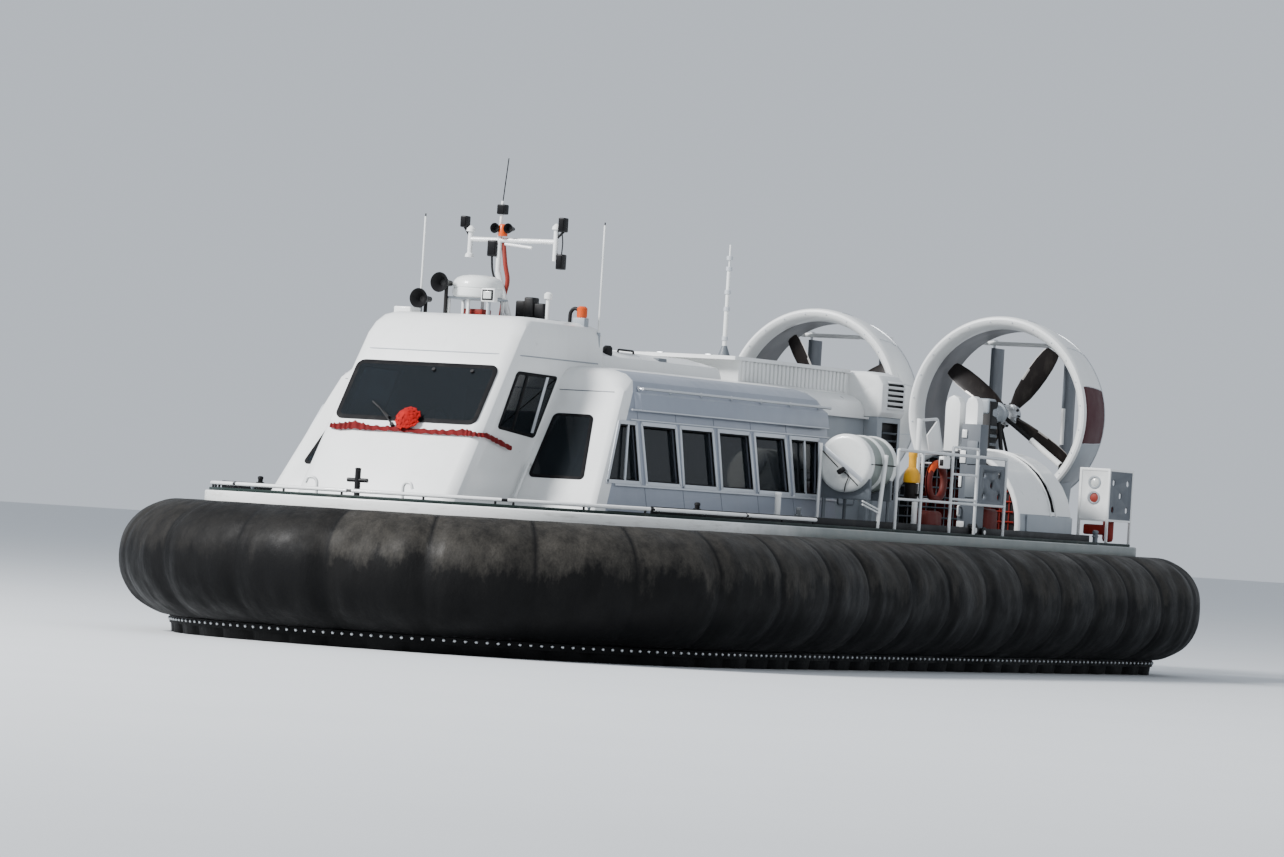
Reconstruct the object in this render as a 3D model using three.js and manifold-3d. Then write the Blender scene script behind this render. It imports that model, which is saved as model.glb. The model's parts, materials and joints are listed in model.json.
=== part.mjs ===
// Passenger hovercraft with a forward pilothouse, a long side-windowed cabin, twin ducted
// propellers with rudders, two deck-mounted lift fans and an inflated bag-and-finger skirt.
// Millimetres. +Z is up, the bow points to -Y, +X is the port side.
// The origin is under the middle of the hull, at the level of the skirt's finger tips.
import * as THREE from "three";
import { mergeVertices } from "three/addons/utils/BufferGeometryUtils.js";
import Module from "manifold-3d";

const wasm = await Module();
wasm.setup();

// Driving dimensions of the hull and skirt.
const GAP = 0.4; // clearance between pieces that touch
const HALF_BEAM = 2880; // deck edge to centreline
const BOW_TIP_Y = -6800;
const BOW_LENGTH = 3400; // from the tip back to the straight sides
const BOW_POWER = 2.4; // fullness of the rounded bow
const STERN_Y = 6800;
const STERN_CORNER = 380;
const DECK_Z = 1680;
const BAND_Z = 1540; // underside of the deck band
const HULL_BOTTOM_Z = 760;
const CHINE_Z = 940;
const BAG_BOTTOM_Z = 372;
const FINGER_COUNT = 80;
const CABIN_FLOOR_Z = 950;
const SIDES = [
  ["port", 1],
  ["stbd", -1],
];

// Driving dimensions of the superstructure.
const WALL = 40;
const CABIN_FRONT_Y = -5160; // at deck level
const CABIN_AFT_Y = 500;
const CABIN_RAKE = 0.72; // the front face moves aft by this much per unit of height
const SILL_Z = 2030;
const WINDOW_TOP_Z = 2610;
const CABIN_HALF_SILL = 1860;
const TUMBLEHOME = 0.1836; // side walls lean in by this much per unit of height
const HOUSE_HALF = 925;
const HOUSE_FRONT_Y = -6300; // at deck level
const HOUSE_AFT_Y = -3200;
const HOUSE_RAKE = 0.695;
const GRAB_Z = 2985;
const DOOR_X = [1250, 1620];
const DOOR_Z = [1740, 2900];
const HINGE = [1626, 513];
const ROOF_Z = 3640; // top of the pilothouse
const CABIN_ROOF_Z = 3200;
const CASING_HALF = 1200;
const CASING_AFT_Y = 2500;
const INTAKE_HALF = 1400;
const INTAKE_AFT_Y = 3120;
const INTAKE_BASE_Z = 2965;

// Driving dimensions of the machinery.
const DUCT_X = 1217;
const DUCT_Z = 3150;
const DUCT_FRONT_Y = 5950;
const DUCT_LIP_R = 1150;
const DUCT_THROAT_R = 1000;
const DUCT_CHORD = 750;
const PROP_Y = 6330;
const PROP_R = 940;
const BLADES = 4;
const PORT_PROP_TURN = 34; // degrees
const STBD_PROP_TURN = 59;
const RUDDER_DX = 480;
const RUDDER_Y = 6860;
const FAN_X = 1800;
const FAN_Z = 1860;
const FAN_Y = [3700, 5140];
const FAN_R = 830;
const ROTOR_R = 620;
const FAN_VANES = 9;

// Driving dimensions of the deck gear, on the port side.
const RAFT = { x: 2320, z: 2390, r: 316, front: -300, aft: 440 };
const SADDLE_Y = [-200, 320];
const CRADLE_HALF = 260; // from the canister's middle to each row of legs
const CRADLE_BASE_Y = [-350, 530];
const FRONT_LEG = { y: -340, top: 2590 }; // tall leg before the canister, inboard
const SIDE_LEG = { x: 2665, y: [-100, 30], top: 2500 }; // tall leg beside it, outboard
const RAIL_X = 2740;
const RAIL_TOP_Z = 2570;
const RAIL_MID_Z = 2040;
const RAIL_FRONT_Y = 180;
const MID_POST_Y = 800;
const LADDER_Y = [1570, 2226];
const RUNG_Z = [2083, 2358, 2655];
const PANEL_Y = [2305, 2985];
const PANEL_Z = [RAIL_MID_Z + 4, 2490];
const PANEL_X = [RAIL_X - 30, RAIL_X - 4];
const RAIL_AFT_Y = PANEL_Y[1] + 12;
const GAP_POST = { x: 2480, y: 1210, top: 2940 };
const LOCKER = { x: [2421, 2653], y: [2450, 2650], top: 2938 };
const COWL_TOP_Z = 3250;
const COWLS = [
  // x, half breadth, z of its foot
  [2276, 89, 2625],
  [2508, 73, LOCKER.top - 20],
];
const TOE_TUBE_AFT_Y = -1870;
const TOE_STRIP_AFT_Y = 6400;
const GUARD_X = [2370, 2755];
const GUARD_Y = [5890, 6590];
const SKID_X = 1250;
const SEAT_ROWS = 5;
const SEAT_PITCH = 600;
const MAST_Y = -3700;

// Colours from the photograph.
const PAINT = {
  white: [0xf2f2ee, 0.35, 0.0],
  grey: [0x8f979b, 0.5, 0.1],
  rubber: [0x1b1b1d, 0.7, 0.0],
  black: [0x18191a, 0.55, 0.1],
  glass: [0x1a2126, 0.1, 0.0],
  blade: [0x221c1a, 0.45, 0.1],
  red: [0xa52a22, 0.5, 0.0],
  seat: [0x5b6b78, 0.85, 0.0],
  steel: [0x9a9ea2, 0.35, 0.8],
};

function material(name) {
  const [color, roughness, metalness] = PAINT[name];
  return new THREE.MeshStandardMaterial({ name, color, roughness, metalness });
}
const LOOK = Object.fromEntries(Object.keys(PAINT).map((n) => [n, material(n)]));

// Solids from closed meshes, and back.
function fromArrays(vertProperties, triVerts) {
  const make = (tris) =>
    new wasm.Manifold(new wasm.Mesh({ numProp: 3, vertProperties, triVerts: tris }));
  const body = make(triVerts);
  if (body.volume() > 0) return body;
  const flipped = new Uint32Array(triVerts);
  for (let i = 0; i < flipped.length; i += 3) {
    [flipped[i + 1], flipped[i + 2]] = [flipped[i + 2], flipped[i + 1]];
  }
  return make(flipped);
}

function solid(geometry) {
  const bare = new THREE.BufferGeometry();
  bare.setAttribute("position", geometry.getAttribute("position"));
  if (geometry.index) bare.setIndex(geometry.index);
  const merged = mergeVertices(bare, 1e-3);
  return fromArrays(
    new Float32Array(merged.attributes.position.array),
    new Uint32Array(merged.index.array),
  );
}

function join(...bodies) {
  return bodies.flat().reduce((a, b) => a.add(b));
}

function cut(body, ...tools) {
  return tools.flat().reduce((a, b) => a.subtract(b), body);
}

function toMesh(name, body, look) {
  const { vertProperties, triVerts, numProp } = body.getMesh();
  const geometry = new THREE.BufferGeometry();
  const positions = new Float32Array((vertProperties.length / numProp) * 3);
  for (let i = 0; i * numProp < vertProperties.length; i += 1) {
    positions.set(vertProperties.slice(i * numProp, i * numProp + 3), i * 3);
  }
  geometry.setAttribute("position", new THREE.BufferAttribute(positions, 3));
  geometry.setIndex(new THREE.BufferAttribute(new Uint32Array(triVerts), 1));
  const flat = geometry.toNonIndexed();
  flat.computeVertexNormals();
  const mesh = new THREE.Mesh(flat, LOOK[look]);
  mesh.name = name;
  return mesh;
}

// A box between two corners.
function box(x0, x1, y0, y1, z0, z1) {
  const g = new THREE.BoxGeometry(x1 - x0, y1 - y0, z1 - z0);
  g.translate((x0 + x1) / 2, (y0 + y1) / 2, (z0 + z1) / 2);
  return solid(g);
}

// The same box on the port side (s = 1) or the starboard side (s = -1).
function mirrored(s, x0, x1, ...rest) {
  return box(Math.min(s * x0, s * x1), Math.max(s * x0, s * x1), ...rest);
}

// A cylinder between two points, r0 at the first and r1 at the second.
function rod(a, b, r0, r1 = r0, sides = 8) {
  const from = new THREE.Vector3(...a);
  const to = new THREE.Vector3(...b);
  const g = new THREE.CylinderGeometry(r1, r0, from.distanceTo(to), sides);
  const turn = new THREE.Quaternion().setFromUnitVectors(
    new THREE.Vector3(0, 1, 0),
    to.clone().sub(from).normalize(),
  );
  g.applyQuaternion(turn);
  g.translate(...from.add(to).multiplyScalar(0.5).toArray());
  return solid(g);
}

// A pipe through a list of points, its lengths overlapping a little at each bend.
function pipe(points, r, sides = 6) {
  const parts = [];
  for (let i = 1; i < points.length; i += 1) {
    const from = new THREE.Vector3(...points[i - 1]);
    const to = new THREE.Vector3(...points[i]);
    const step = to.clone().sub(from).normalize().multiplyScalar(0.4 * r);
    if (i > 1) from.sub(step);
    if (i < points.length - 1) to.add(step);
    parts.push(rod(from.toArray(), to.toArray(), r, r, sides));
  }
  return join(parts);
}

// The triangles that cap one closed, nearly flat loop, in the loop's own turning sense.
function capTriangles(loop) {
  const points = loop.map((p) => new THREE.Vector3(...p));
  const normal = new THREE.Vector3();
  points.forEach((p, i) => normal.add(p.clone().cross(points[(i + 1) % points.length])));
  const size = normal.toArray().map(Math.abs);
  const drop = size.indexOf(Math.max(...size));
  const flat = loop.map((p) => new THREE.Vector2(...p.filter((_, axis) => axis !== drop)));
  const sense = Math.sign(THREE.ShapeUtils.area(flat));
  return THREE.ShapeUtils.triangulateShape(flat, []).map(([a, b, c]) => {
    const turn = THREE.ShapeUtils.area([flat[a], flat[b], flat[c]]);
    return Math.sign(turn) === sense ? [a, b, c] : [a, c, b];
  });
}

// A skin through closed loops of points, capped at both ends, or closed on itself as a ring.
function loft(loops, ring = false) {
  const n = loops[0].length;
  const tris = [];
  const spans = ring ? loops.length : loops.length - 1;
  for (let k = 0; k < spans; k += 1) {
    const a = k * n;
    const b = ((k + 1) % loops.length) * n;
    for (let i = 0; i < n; i += 1) {
      const j = (i + 1) % n;
      tris.push(a + i, a + j, b + j, a + i, b + j, b + i);
    }
  }
  if (!ring) {
    const top = (loops.length - 1) * n;
    for (const [a, b, c] of capTriangles(loops[0])) tris.push(a, c, b);
    for (const [a, b, c] of capTriangles(loops.at(-1))) tris.push(top + a, top + b, top + c);
  }
  return fromArrays(new Float32Array(loops.flat(2)), new Uint32Array(tris));
}

// A prism: a flat outline given in two axes, carried along the third.
function prism(outline, axis, from, to) {
  const place = {
    x: ([p, q], t) => [t, p, q],
    y: ([p, q], t) => [p, t, q],
    z: ([p, q], t) => [p, q, t],
  }[axis];
  return loft([outline.map((p) => place(p, from)), outline.map((p) => place(p, to))]);
}

// A disc or ring outline of a lathe turned about the Y axis, from [radius, y] pairs.
function turned(profile, sides) {
  const g = new THREE.LatheGeometry(profile.map(([r, y]) => new THREE.Vector2(r, y)), sides);
  return solid(g);
}

// The deck plan at an offset from the deck edge, from the bow tip round by port.
function plan(offset) {
  const half = [];
  const b = HALF_BEAM + offset;
  const l = BOW_LENGTH + offset;
  const shoulder = BOW_TIP_Y + BOW_LENGTH;
  for (let i = 0; i <= 16; i += 1) {
    const t = (i / 16) * (Math.PI / 2);
    const x = b * Math.sin(t) ** (2 / BOW_POWER);
    half.push([x, shoulder - l * Math.cos(t) ** (2 / BOW_POWER)]);
  }
  const r = Math.max(STERN_CORNER + offset, 60);
  const corner = [b - r, STERN_Y + offset - r];
  for (const part of [1 / 3, 2 / 3]) half.push([b, shoulder + part * (corner[1] - shoulder)]);
  for (let i = 0; i <= 5; i += 1) {
    const t = (i / 5) * (Math.PI / 2);
    half.push([corner[0] + r * Math.cos(t), corner[1] + r * Math.sin(t)]);
  }
  half.push([corner[0] / 2, STERN_Y + offset]);
  const other = half.slice(1).reverse().map(([x, y]) => [-x, y]);
  return [...half, [0, STERN_Y + offset], ...other];
}

// The same plan, cut into equal steps along its length.
function evenPlan(offset, count) {
  const loop = plan(offset).map(([x, y]) => new THREE.Vector2(x, y));
  loop.push(loop[0]);
  const steps = loop.slice(1).map((p, i) => p.distanceTo(loop[i]));
  const total = steps.reduce((a, b) => a + b);
  const out = [];
  let k = 0;
  let before = 0;
  for (let i = 0; i < count; i += 1) {
    const s = (i / count) * total;
    while (before + steps[k] < s) {
      before += steps[k];
      k += 1;
    }
    const p = loop[k].clone().lerp(loop[k + 1], (s - before) / steps[k]);
    out.push([p.x, p.y]);
  }
  return out;
}

const at = (loop, z) => loop.map(([x, y]) => [x, y, z]);

// A rectangle in plan with rounded corners, at a height.
function roundedRectangle(x0, x1, y0, y1, r, z, steps = 3) {
  const loop = [];
  const corners = [
    [x1 - r, y1 - r, 0],
    [x0 + r, y1 - r, 1],
    [x0 + r, y0 + r, 2],
    [x1 - r, y0 + r, 3],
  ];
  for (const [x, y, quarter] of corners) {
    for (let i = 0; i <= steps; i += 1) {
      const t = (quarter + i / steps) * (Math.PI / 2);
      loop.push([x + r * Math.cos(t), y + r * Math.sin(t), z]);
    }
  }
  return loop;
}

const group = new THREE.Group();
const add = (parent, name, body, look) => {
  const mesh = toMesh(name, body, look);
  parent.add(mesh);
  return mesh;
};

// Hull, skirt and landing skids.
const fanWell = (s) => mirrored(
  s, FAN_X - 740, FAN_X + 740, FAN_Y[0] + 80, FAN_Y[1] - 80, FAN_Z - ROTOR_R - 60, DECK_Z + 100,
);
const fanOutlet = (s) => mirrored(
  s, FAN_X - 350, FAN_X + 350, FAN_Y[0] + 300, FAN_Y[1] - 300, HULL_BOTTOM_Z - 100, FAN_Z,
);
// The cabin's foot well, with a pocket each side of the pilothouse and two steps up to it.
const WELL_HALF = 1700;
const WELL_Y = [-3150, 300];
const POCKET = { x: 960, front: -4700 };
const hullProfile = [
  [-520, HULL_BOTTOM_Z],
  [-300, CHINE_Z],
  [-60, BAND_Z],
  [0, BAND_Z + 1],
  [0, DECK_Z - 12],
  [-12, DECK_Z],
];
let hull = loft(hullProfile.map(([off, z]) => at(plan(off), z)));
hull = cut(
  hull,
  box(-WELL_HALF, WELL_HALF, ...WELL_Y, CABIN_FLOOR_Z, DECK_Z + 100),
  SIDES.map(([, s]) => mirrored(
    s, POCKET.x, WELL_HALF, POCKET.front, WELL_Y[0] + 1, CABIN_FLOOR_Z, DECK_Z + 100,
  )),
  SIDES.map(([, s]) => fanWell(s)),
  SIDES.map(([, s]) => fanOutlet(s)),
);
const stepDown = (DECK_Z - CABIN_FLOOR_Z) / 3;
hull = join(
  hull,
  box(150, 700, WELL_Y[0] - 10, -2900, CABIN_FLOOR_Z - 10, CABIN_FLOOR_Z + 2 * stepDown),
  box(150, 700, -2910, -2640, CABIN_FLOOR_Z - 10, CABIN_FLOOR_Z + stepDown),
);
add(group, "hull_deck", hull, "white");

const bagProfile = [
  [-60 + GAP, BAND_Z - GAP],
  [30, BAND_Z + 0.2],
  [180, 1572],
  [380, 1552],
  [610, 1430],
  [755, 1240],
  [800, 1020],
  [770, 780],
  [640, 565],
  [450, 430],
  [270, BAG_BOTTOM_Z],
  [-40, BAG_BOTTOM_Z],
  [-180, 530],
  [-299, CHINE_Z - 2],
  [-300 + GAP + 0.2, CHINE_Z],
];
add(group, "skirt_bag", loft(bagProfile.map(([off, z]) => at(plan(off), z)), true), "rubber");

const perFinger = 2;
const fingerLoop = (off, bulge, z) => {
  const base = evenPlan(off, FINGER_COUNT * perFinger);
  const out = evenPlan(off + bulge, FINGER_COUNT * perFinger);
  return at(base.map((p, i) => (i % perFinger === 0 ? p : out[i])), z);
};
const fingers = loft(
  [
    fingerLoop(-30, 0, BAG_BOTTOM_Z - GAP),
    fingerLoop(240, 22, BAG_BOTTOM_Z - GAP),
    fingerLoop(150, 45, 0),
    fingerLoop(70, 0, 0),
  ],
  true,
);
add(group, "skirt_fingers", fingers, "rubber");

for (const [side, s] of SIDES) {
  const skid = prism(
    [
      [-4600, 140], [-4200, 0], [5000, 0], [5300, 140],
      [5300, HULL_BOTTOM_Z - GAP], [-4600, HULL_BOTTOM_Z - GAP],
    ],
    "x", s * SKID_X - 90, s * SKID_X + 90,
  );
  add(group, "landing_skid_" + side, skid, "grey");
}

// Pilothouse.
const houseSections = [
  // z, front, aft, half breadth, corner radius
  [DECK_Z + GAP, HOUSE_FRONT_Y, HOUSE_AFT_Y, 930, 130],
  [2518, -5718, HOUSE_AFT_Y, HOUSE_HALF, 130],
  [3082, -5326, HOUSE_AFT_Y, 920, 130],
  [3400, -5105, HOUSE_AFT_Y, 917, 140],
  [3520, -5000, HOUSE_AFT_Y + 10, 905, 160],
  [3600, -4920, HOUSE_AFT_Y - 30, 860, 180],
  [ROOF_Z, -4820, HOUSE_AFT_Y - 120, 780, 180],
];
// The body's outline grown by an amount, carried down below its base and up at its top.
const grownLoft = (sections, grow, low, high) => {
  const list = sections.map((section) => [...section]);
  list.at(-1)[0] += high;
  if (low < 0) list.unshift([list[0][0] + low, ...list[0].slice(1)]);
  return loft(list.map(([z, front, aft, half, r]) => roundedRectangle(
    -half - grow, half + grow, front - grow * 1.15, aft + grow, Math.max(r + grow, 20), z,
  )));
};
const houseLoft = (grow, low, high) => grownLoft(houseSections, grow, low, high);
const houseOuter = houseLoft(0, 0, 0);
const houseSideWindow = [[-5085, 3055], [-5440, 2495], [-4700, 2425], [-4275, 3040]];
const windscreenOutline = [[-797, 3082], [797, 3082], [795, 2518], [-795, 2518]];
let house = cut(
  houseOuter,
  houseLoft(-45, -80, -45),
  prism(windscreenOutline, "y", -6600, -5150),
  prism(houseSideWindow, "x", 800, 1000),
  prism(houseSideWindow, "x", -1000, -800),
  box(150, 700, -3300, -3100, DECK_Z + 40, 3200),
);
add(group, "pilothouse_shell", house, "white");

const rakeY = (z) => HOUSE_FRONT_Y + HOUSE_RAKE * (z - DECK_Z) + 2;
const pane = (outline, depth0, depth1) => loft([
  outline.map(([x, z]) => [x, rakeY(z) + depth0, z]),
  outline.map(([x, z]) => [x, rakeY(z) + depth1, z]),
]);
// An outline drawn in by a small amount on every side.
const shrink = (outline, d) => {
  const middle = (axis) => outline.reduce((sum, p) => sum + p[axis], 0) / outline.length;
  return outline.map((p) => p.map((v, axis) => v + (v > middle(axis) ? -d : d)));
};
add(group, "windscreen", pane(shrink(windscreenOutline, 0.5), 14, 26), "glass");
for (const [side, s] of SIDES) {
  add(group, "pilothouse_glass_" + side, prism(shrink(houseSideWindow, 1.2), "x", s * 897, s * 907), "glass");
}

// Cabin.
const cabinHalf = (z) => CABIN_HALF_SILL - TUMBLEHOME * (z - SILL_Z);
const cabinFront = (z) => CABIN_FRONT_Y + CABIN_RAKE * (z - DECK_Z);
const cabinSections = [
  // z, front, aft, half breadth, corner radius
  [DECK_Z + GAP, cabinFront(DECK_Z), CABIN_AFT_Y, cabinHalf(DECK_Z), 70],
  [2760, cabinFront(2760), CABIN_AFT_Y, cabinHalf(2760), 70],
  [2950, cabinFront(2950), CABIN_AFT_Y, cabinHalf(2950), 80],
  [3060, -4160, CABIN_AFT_Y - 10, 1640, 180],
  [3130, -4080, CABIN_AFT_Y - 60, 1540, 200],
  [3170, -3980, CABIN_AFT_Y - 100, 1400, 200],
  [CABIN_ROOF_Z, -3700, CABIN_AFT_Y - 120, 1150, 200],
];
const cabinLoft = (grow, low, high) => grownLoft(cabinSections, grow, low, high);
const sideWindows = [
  [[-4800, SILL_Z], [-4100, SILL_Z], [-4060, WINDOW_TOP_Z], [-4385, WINDOW_TOP_Z]],
  [[-3925, SILL_Z], [-3205, SILL_Z], [-3180, WINDOW_TOP_Z], [-3910, WINDOW_TOP_Z]],
  [[-3100, SILL_Z], [-2370, SILL_Z], [-2340, WINDOW_TOP_Z], [-3045, WINDOW_TOP_Z]],
  [[-2230, SILL_Z], [-1500, SILL_Z], [-1485, WINDOW_TOP_Z], [-2180, WINDOW_TOP_Z]],
  [[-1370, SILL_Z], [-650, SILL_Z], [-635, WINDOW_TOP_Z], [-1335, WINDOW_TOP_Z]],
  [[-520, SILL_Z], [40, SILL_Z], [200, WINDOW_TOP_Z], [-480, WINDOW_TOP_Z]],
];
const frontWindow = [[1035, SILL_Z], [1640, SILL_Z], [1455, 2660], [1035, 2660]];
const doorBox = (s) => mirrored(s, ...DOOR_X, CABIN_AFT_Y - 100, CABIN_AFT_Y + 50, ...DOOR_Z);
const HINGE_LOW_Z = [1950, 2650];
const KNUCKLE_LENGTH = 60;
const knuckle = (s, low, high) => rod(
  [s * HINGE[0], HINGE[1], low], [s * HINGE[0], HINGE[1], high], 10, 10, 10,
);
let cabin = cut(cabinLoft(0, 0, 0), cabinLoft(-WALL, -80, -WALL), houseLoft(GAP, -50, 100));
for (const [, s] of SIDES) {
  cabin = cut(
    cabin,
    sideWindows.map((outline) => prism(outline, "x", s * 1500, s * 2100)),
    prism(frontWindow.map(([x, z]) => [s * x, z]), "y", -5300, -4200),
    doorBox(s),
  );
}
for (const [, s] of SIDES) {
  // Box along the edge of the roof, over the windows.
  const x = (z) => cabinHalf(z) - 2;
  const boxLoop = (y, end) => [
    [s * x(2765), y, 2765],
    [s * (x(2765) + 57), y + end, 2765],
    [s * (x(2930) + 57), y + end, 2930],
    [s * x(2960), y, 2960],
  ];
  cabin = cabin.add(loft([boxLoop(cabinFront(2950) + 230, 40), boxLoop(440, -40)]));
  // The fixed halves of the door hinges.
  for (const z of HINGE_LOW_Z) {
    const top = z + KNUCKLE_LENGTH;
    cabin = join(
      cabin,
      knuckle(s, z, top),
      mirrored(s, HINGE[0] - 2, HINGE[0] + 10, CABIN_AFT_Y - 2, HINGE[1], z, top),
    );
  }
}
add(group, "cabin_shell", cabin, "white");

for (const [side, s] of SIDES) {
  const low = SILL_Z - 45;
  const high = WINDOW_TOP_Z + 45;
  const edge = (z, depth) => s * (cabinHalf(z) - WALL - depth);
  const glass = (depth) => [
    [edge(low, depth), cabinFront(low) + 110, low],
    [edge(low, depth), 400, low],
    [edge(high, depth), 400, high],
    [edge(high, depth), cabinFront(high) + 110, high],
  ];
  add(group, "cabin_side_glass_" + side, loft([glass(GAP), glass(10)]), "glass");
  const face = (depth) => shrink(frontWindow, 1.2).map(([x, z]) => [s * x, cabinFront(z) + depth, z]);
  add(group, "cabin_front_glass_" + side, loft([face(12), face(24)]), "glass");
  // Each door leaf has the upper half of each hinge, on a strap across its edge.
  const leafX = [DOOR_X[0] + 5, DOOR_X[1] - 5];
  const leafZ = [DOOR_Z[0] + 5, DOOR_Z[1] - 5];
  const door = join(
    mirrored(s, ...leafX, CABIN_AFT_Y - 32, CABIN_AFT_Y - 2, ...leafZ),
    HINGE_LOW_Z.map((z) => {
      const upper = [z + KNUCKLE_LENGTH + GAP, z + 2 * KNUCKLE_LENGTH];
      return join(
        knuckle(s, ...upper),
        mirrored(s, DOOR_X[1] - 40, DOOR_X[1] - 6, CABIN_AFT_Y - 10, CABIN_AFT_Y + 8, ...upper),
        mirrored(s, DOOR_X[1] - 7, HINGE[0], CABIN_AFT_Y + 1, CABIN_AFT_Y + 8, ...upper),
      );
    }),
  );
  add(group, "cabin_door_" + side, door, "white");
  // Grab rail along the roof edge.
  const railX = 1770;
  const rail = [pipe([[s * railX, -3950, GRAB_Z], [s * railX, 400, GRAB_Z]], 14)];
  for (let i = 0; i < 7; i += 1) {
    const y = -3900 + i * 700;
    rail.push(rod([s * railX, y, GRAB_Z], [s * 1679.6, y, GRAB_Z], 9, 9, 6));
  }
  add(group, "grab_rail_" + side, join(rail), "steel");
}

// Seats and helm.
for (const [side, s] of SIDES) {
  const parts = [mirrored(s, 1080, 1130, -2660, -160, CABIN_FLOOR_Z + GAP, CABIN_FLOOR_Z + 40)];
  for (let i = 0; i < SEAT_ROWS; i += 1) {
    const y = -2600 + i * SEAT_PITCH;
    const back = [[y + 170, 1350], [y + 280, 1350], [y + 360, 2120], [y + 270, 2120]];
    parts.push(mirrored(s, 640, 1590, y - 230, y + 230, 1290, 1400));
    parts.push(mirrored(s, 700, 1530, y - 60, y + 60, CABIN_FLOOR_Z + GAP, 1300));
    for (const x of [650, 1150]) parts.push(prism(back, "x", s * x, s * (x + 430)));
  }
  add(group, "passenger_seats_" + side, join(parts), "seat");
}
const helm = join(
  box(-780, 780, -5560, -3900, DECK_Z + GAP, DECK_Z + 20),
  rod([0, -4350, DECK_Z + 10], [0, -4350, 2150], 60, 60, 10),
  box(-240, 240, -4600, -4120, 2130, 2230),
  prism([[-4180, 2200], [-4090, 2200], [-4020, 2900], [-4100, 2900]], "x", -225, 225),
  prism(
    [
      [-5560, DECK_Z + 10], [-5250, DECK_Z + 10], [-5050, 2300],
      [-5050, 2420], [-5480, 2480], [-5600, 2440],
    ],
    "x", -780, 780,
  ),
);
add(group, "helm", helm, "black");

// Engine casing behind the cabin.
const casingSections = (z0) => [
  // z, half breadth, corner radius
  [z0, CASING_HALF, 60],
  [3020, CASING_HALF, 60],
  [3120, CASING_HALF - 40, 80],
  [3180, CASING_HALF - 120, 100],
  [3200, CASING_HALF - 220, 100],
];
const casingLoft = (grow) => loft(
  casingSections(DECK_Z + GAP + (grow ? -60 : 0)).map(([z, half, r]) => roundedRectangle(
    -half - grow, half + grow, CABIN_AFT_Y + 0.6 - grow, CASING_AFT_Y + grow,
    Math.max(r + grow, 20), z > 3190 ? z + grow : z, 2,
  )),
);
const intakeSections = [
  // z, inset of the sides, inset of the front, inset of the aft face, corner radius
  [INTAKE_BASE_Z + GAP, 40, -10, 0, 40],
  [3020, 0, -10, 0, 60],
  [3330, 0, -10, 0, 60],
  [3430, 60, -10, 30, 80],
  [3470, 180, 60, 100, 80],
];
const intake = loft(intakeSections.map(([z, side, front, aft, r]) => roundedRectangle(
  side - INTAKE_HALF, INTAKE_HALF - side, CASING_AFT_Y + front, INTAKE_AFT_Y - aft, r, z, 2,
)));
const louvres = [];
for (const [, s] of SIDES) {
  for (let i = 0; i < 5; i += 1) {
    const z = 3080 + i * 60;
    louvres.push(mirrored(
      s, INTAKE_HALF - 40, INTAKE_HALF + 60, CASING_AFT_Y + 120, INTAKE_AFT_Y - 90, z, z + 28,
    ));
  }
}
const TRUNK = { half: 960, front: -250, aft: CASING_AFT_Y - 5, top: 3450 };
const casing = join(
  cut(casingLoft(0), casingLoft(-30)),
  box(-TRUNK.half, TRUNK.half, TRUNK.front, TRUNK.aft, CABIN_ROOF_Z + GAP, TRUNK.top),
  box(-TRUNK.half, TRUNK.half, CABIN_AFT_Y + 20, TRUNK.aft, CABIN_ROOF_Z - 10, CABIN_ROOF_Z + 10),
  loft([
    roundedRectangle(-1000, 1000, TRUNK.front - 170, TRUNK.aft, 40, TRUNK.top - 10, 2),
    roundedRectangle(-990, 990, TRUNK.front - 150, TRUNK.aft, 40, TRUNK.top + 30, 2),
  ]),
  cut(intake, louvres),
);
add(group, "engine_casing", casing, "white");
const aftHalf = INTAKE_HALF - 50;
add(group, "aft_casing", cut(
  box(-aftHalf, aftHalf, CASING_AFT_Y + GAP, INTAKE_AFT_Y - 20, DECK_Z + GAP, INTAKE_BASE_Z),
  SIDES.map(([, s]) => mirrored(
    s, aftHalf - 60, aftHalf + 50, CASING_AFT_Y + 130, INTAKE_AFT_Y - 100, 2050, 2900,
  )),
), "grey");
// Two engine blocks, tied by two bearers across the deck.
add(group, "engines", join(
  SIDES.map(([, s]) => mirrored(s, 250, 950, 900, 2300, DECK_Z + GAP, 2650)),
  [1200, 1900].map((y) => box(-300, 300, y, y + 200, DECK_Z + GAP, DECK_Z + 80)),
), "grey");

// Roof fairings between the pilothouse and the engine casing.
const fairingSections = [
  // z, half breadth, aft end, corner radius
  [CABIN_ROOF_Z + GAP, 880, TRUNK.front - 170.5, 60],
  [3330, 860, -460, 80],
  [3400, 700, -900, 80],
];
add(group, "roof_fairing", loft(fairingSections.map(([z, half, aft, r]) => roundedRectangle(
  -half, half, HOUSE_AFT_Y + 1, aft, r, z, 2,
))), "white");

// One side's ducted propeller, rudders, lift fan, rails and deck gear, drawn for the port side.
function bladeLoops() {
  const stations = [
    // radius, chord, thickness, twist in degrees
    [110, 130, 66, 52],
    [420, 230, 34, 36],
    [700, 225, 21, 27],
    [PROP_R, 150, 10, 20],
  ];
  return stations.map(([r, chord, thick, twist]) => {
    const t = (twist * Math.PI) / 180;
    return [[-0.5, 0], [-0.15, 0.5], [0.5, 0.06], [0.5, -0.06], [-0.15, -0.5]].map(
      ([c, h]) => [
        c * chord * Math.cos(t) - h * thick * Math.sin(t),
        c * chord * Math.sin(t) + h * thick * Math.cos(t),
        r,
      ],
    );
  });
}

function propeller() {
  const parts = [turned([[0, -170], [70, -150], [120, -60], [120, 90], [70, 130], [0, 130]], 14)];
  const blade = loft(bladeLoops());
  for (let i = 0; i < BLADES; i += 1) parts.push(blade.rotate([0, (360 / BLADES) * i, 0]));
  return join(parts);
}

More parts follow.
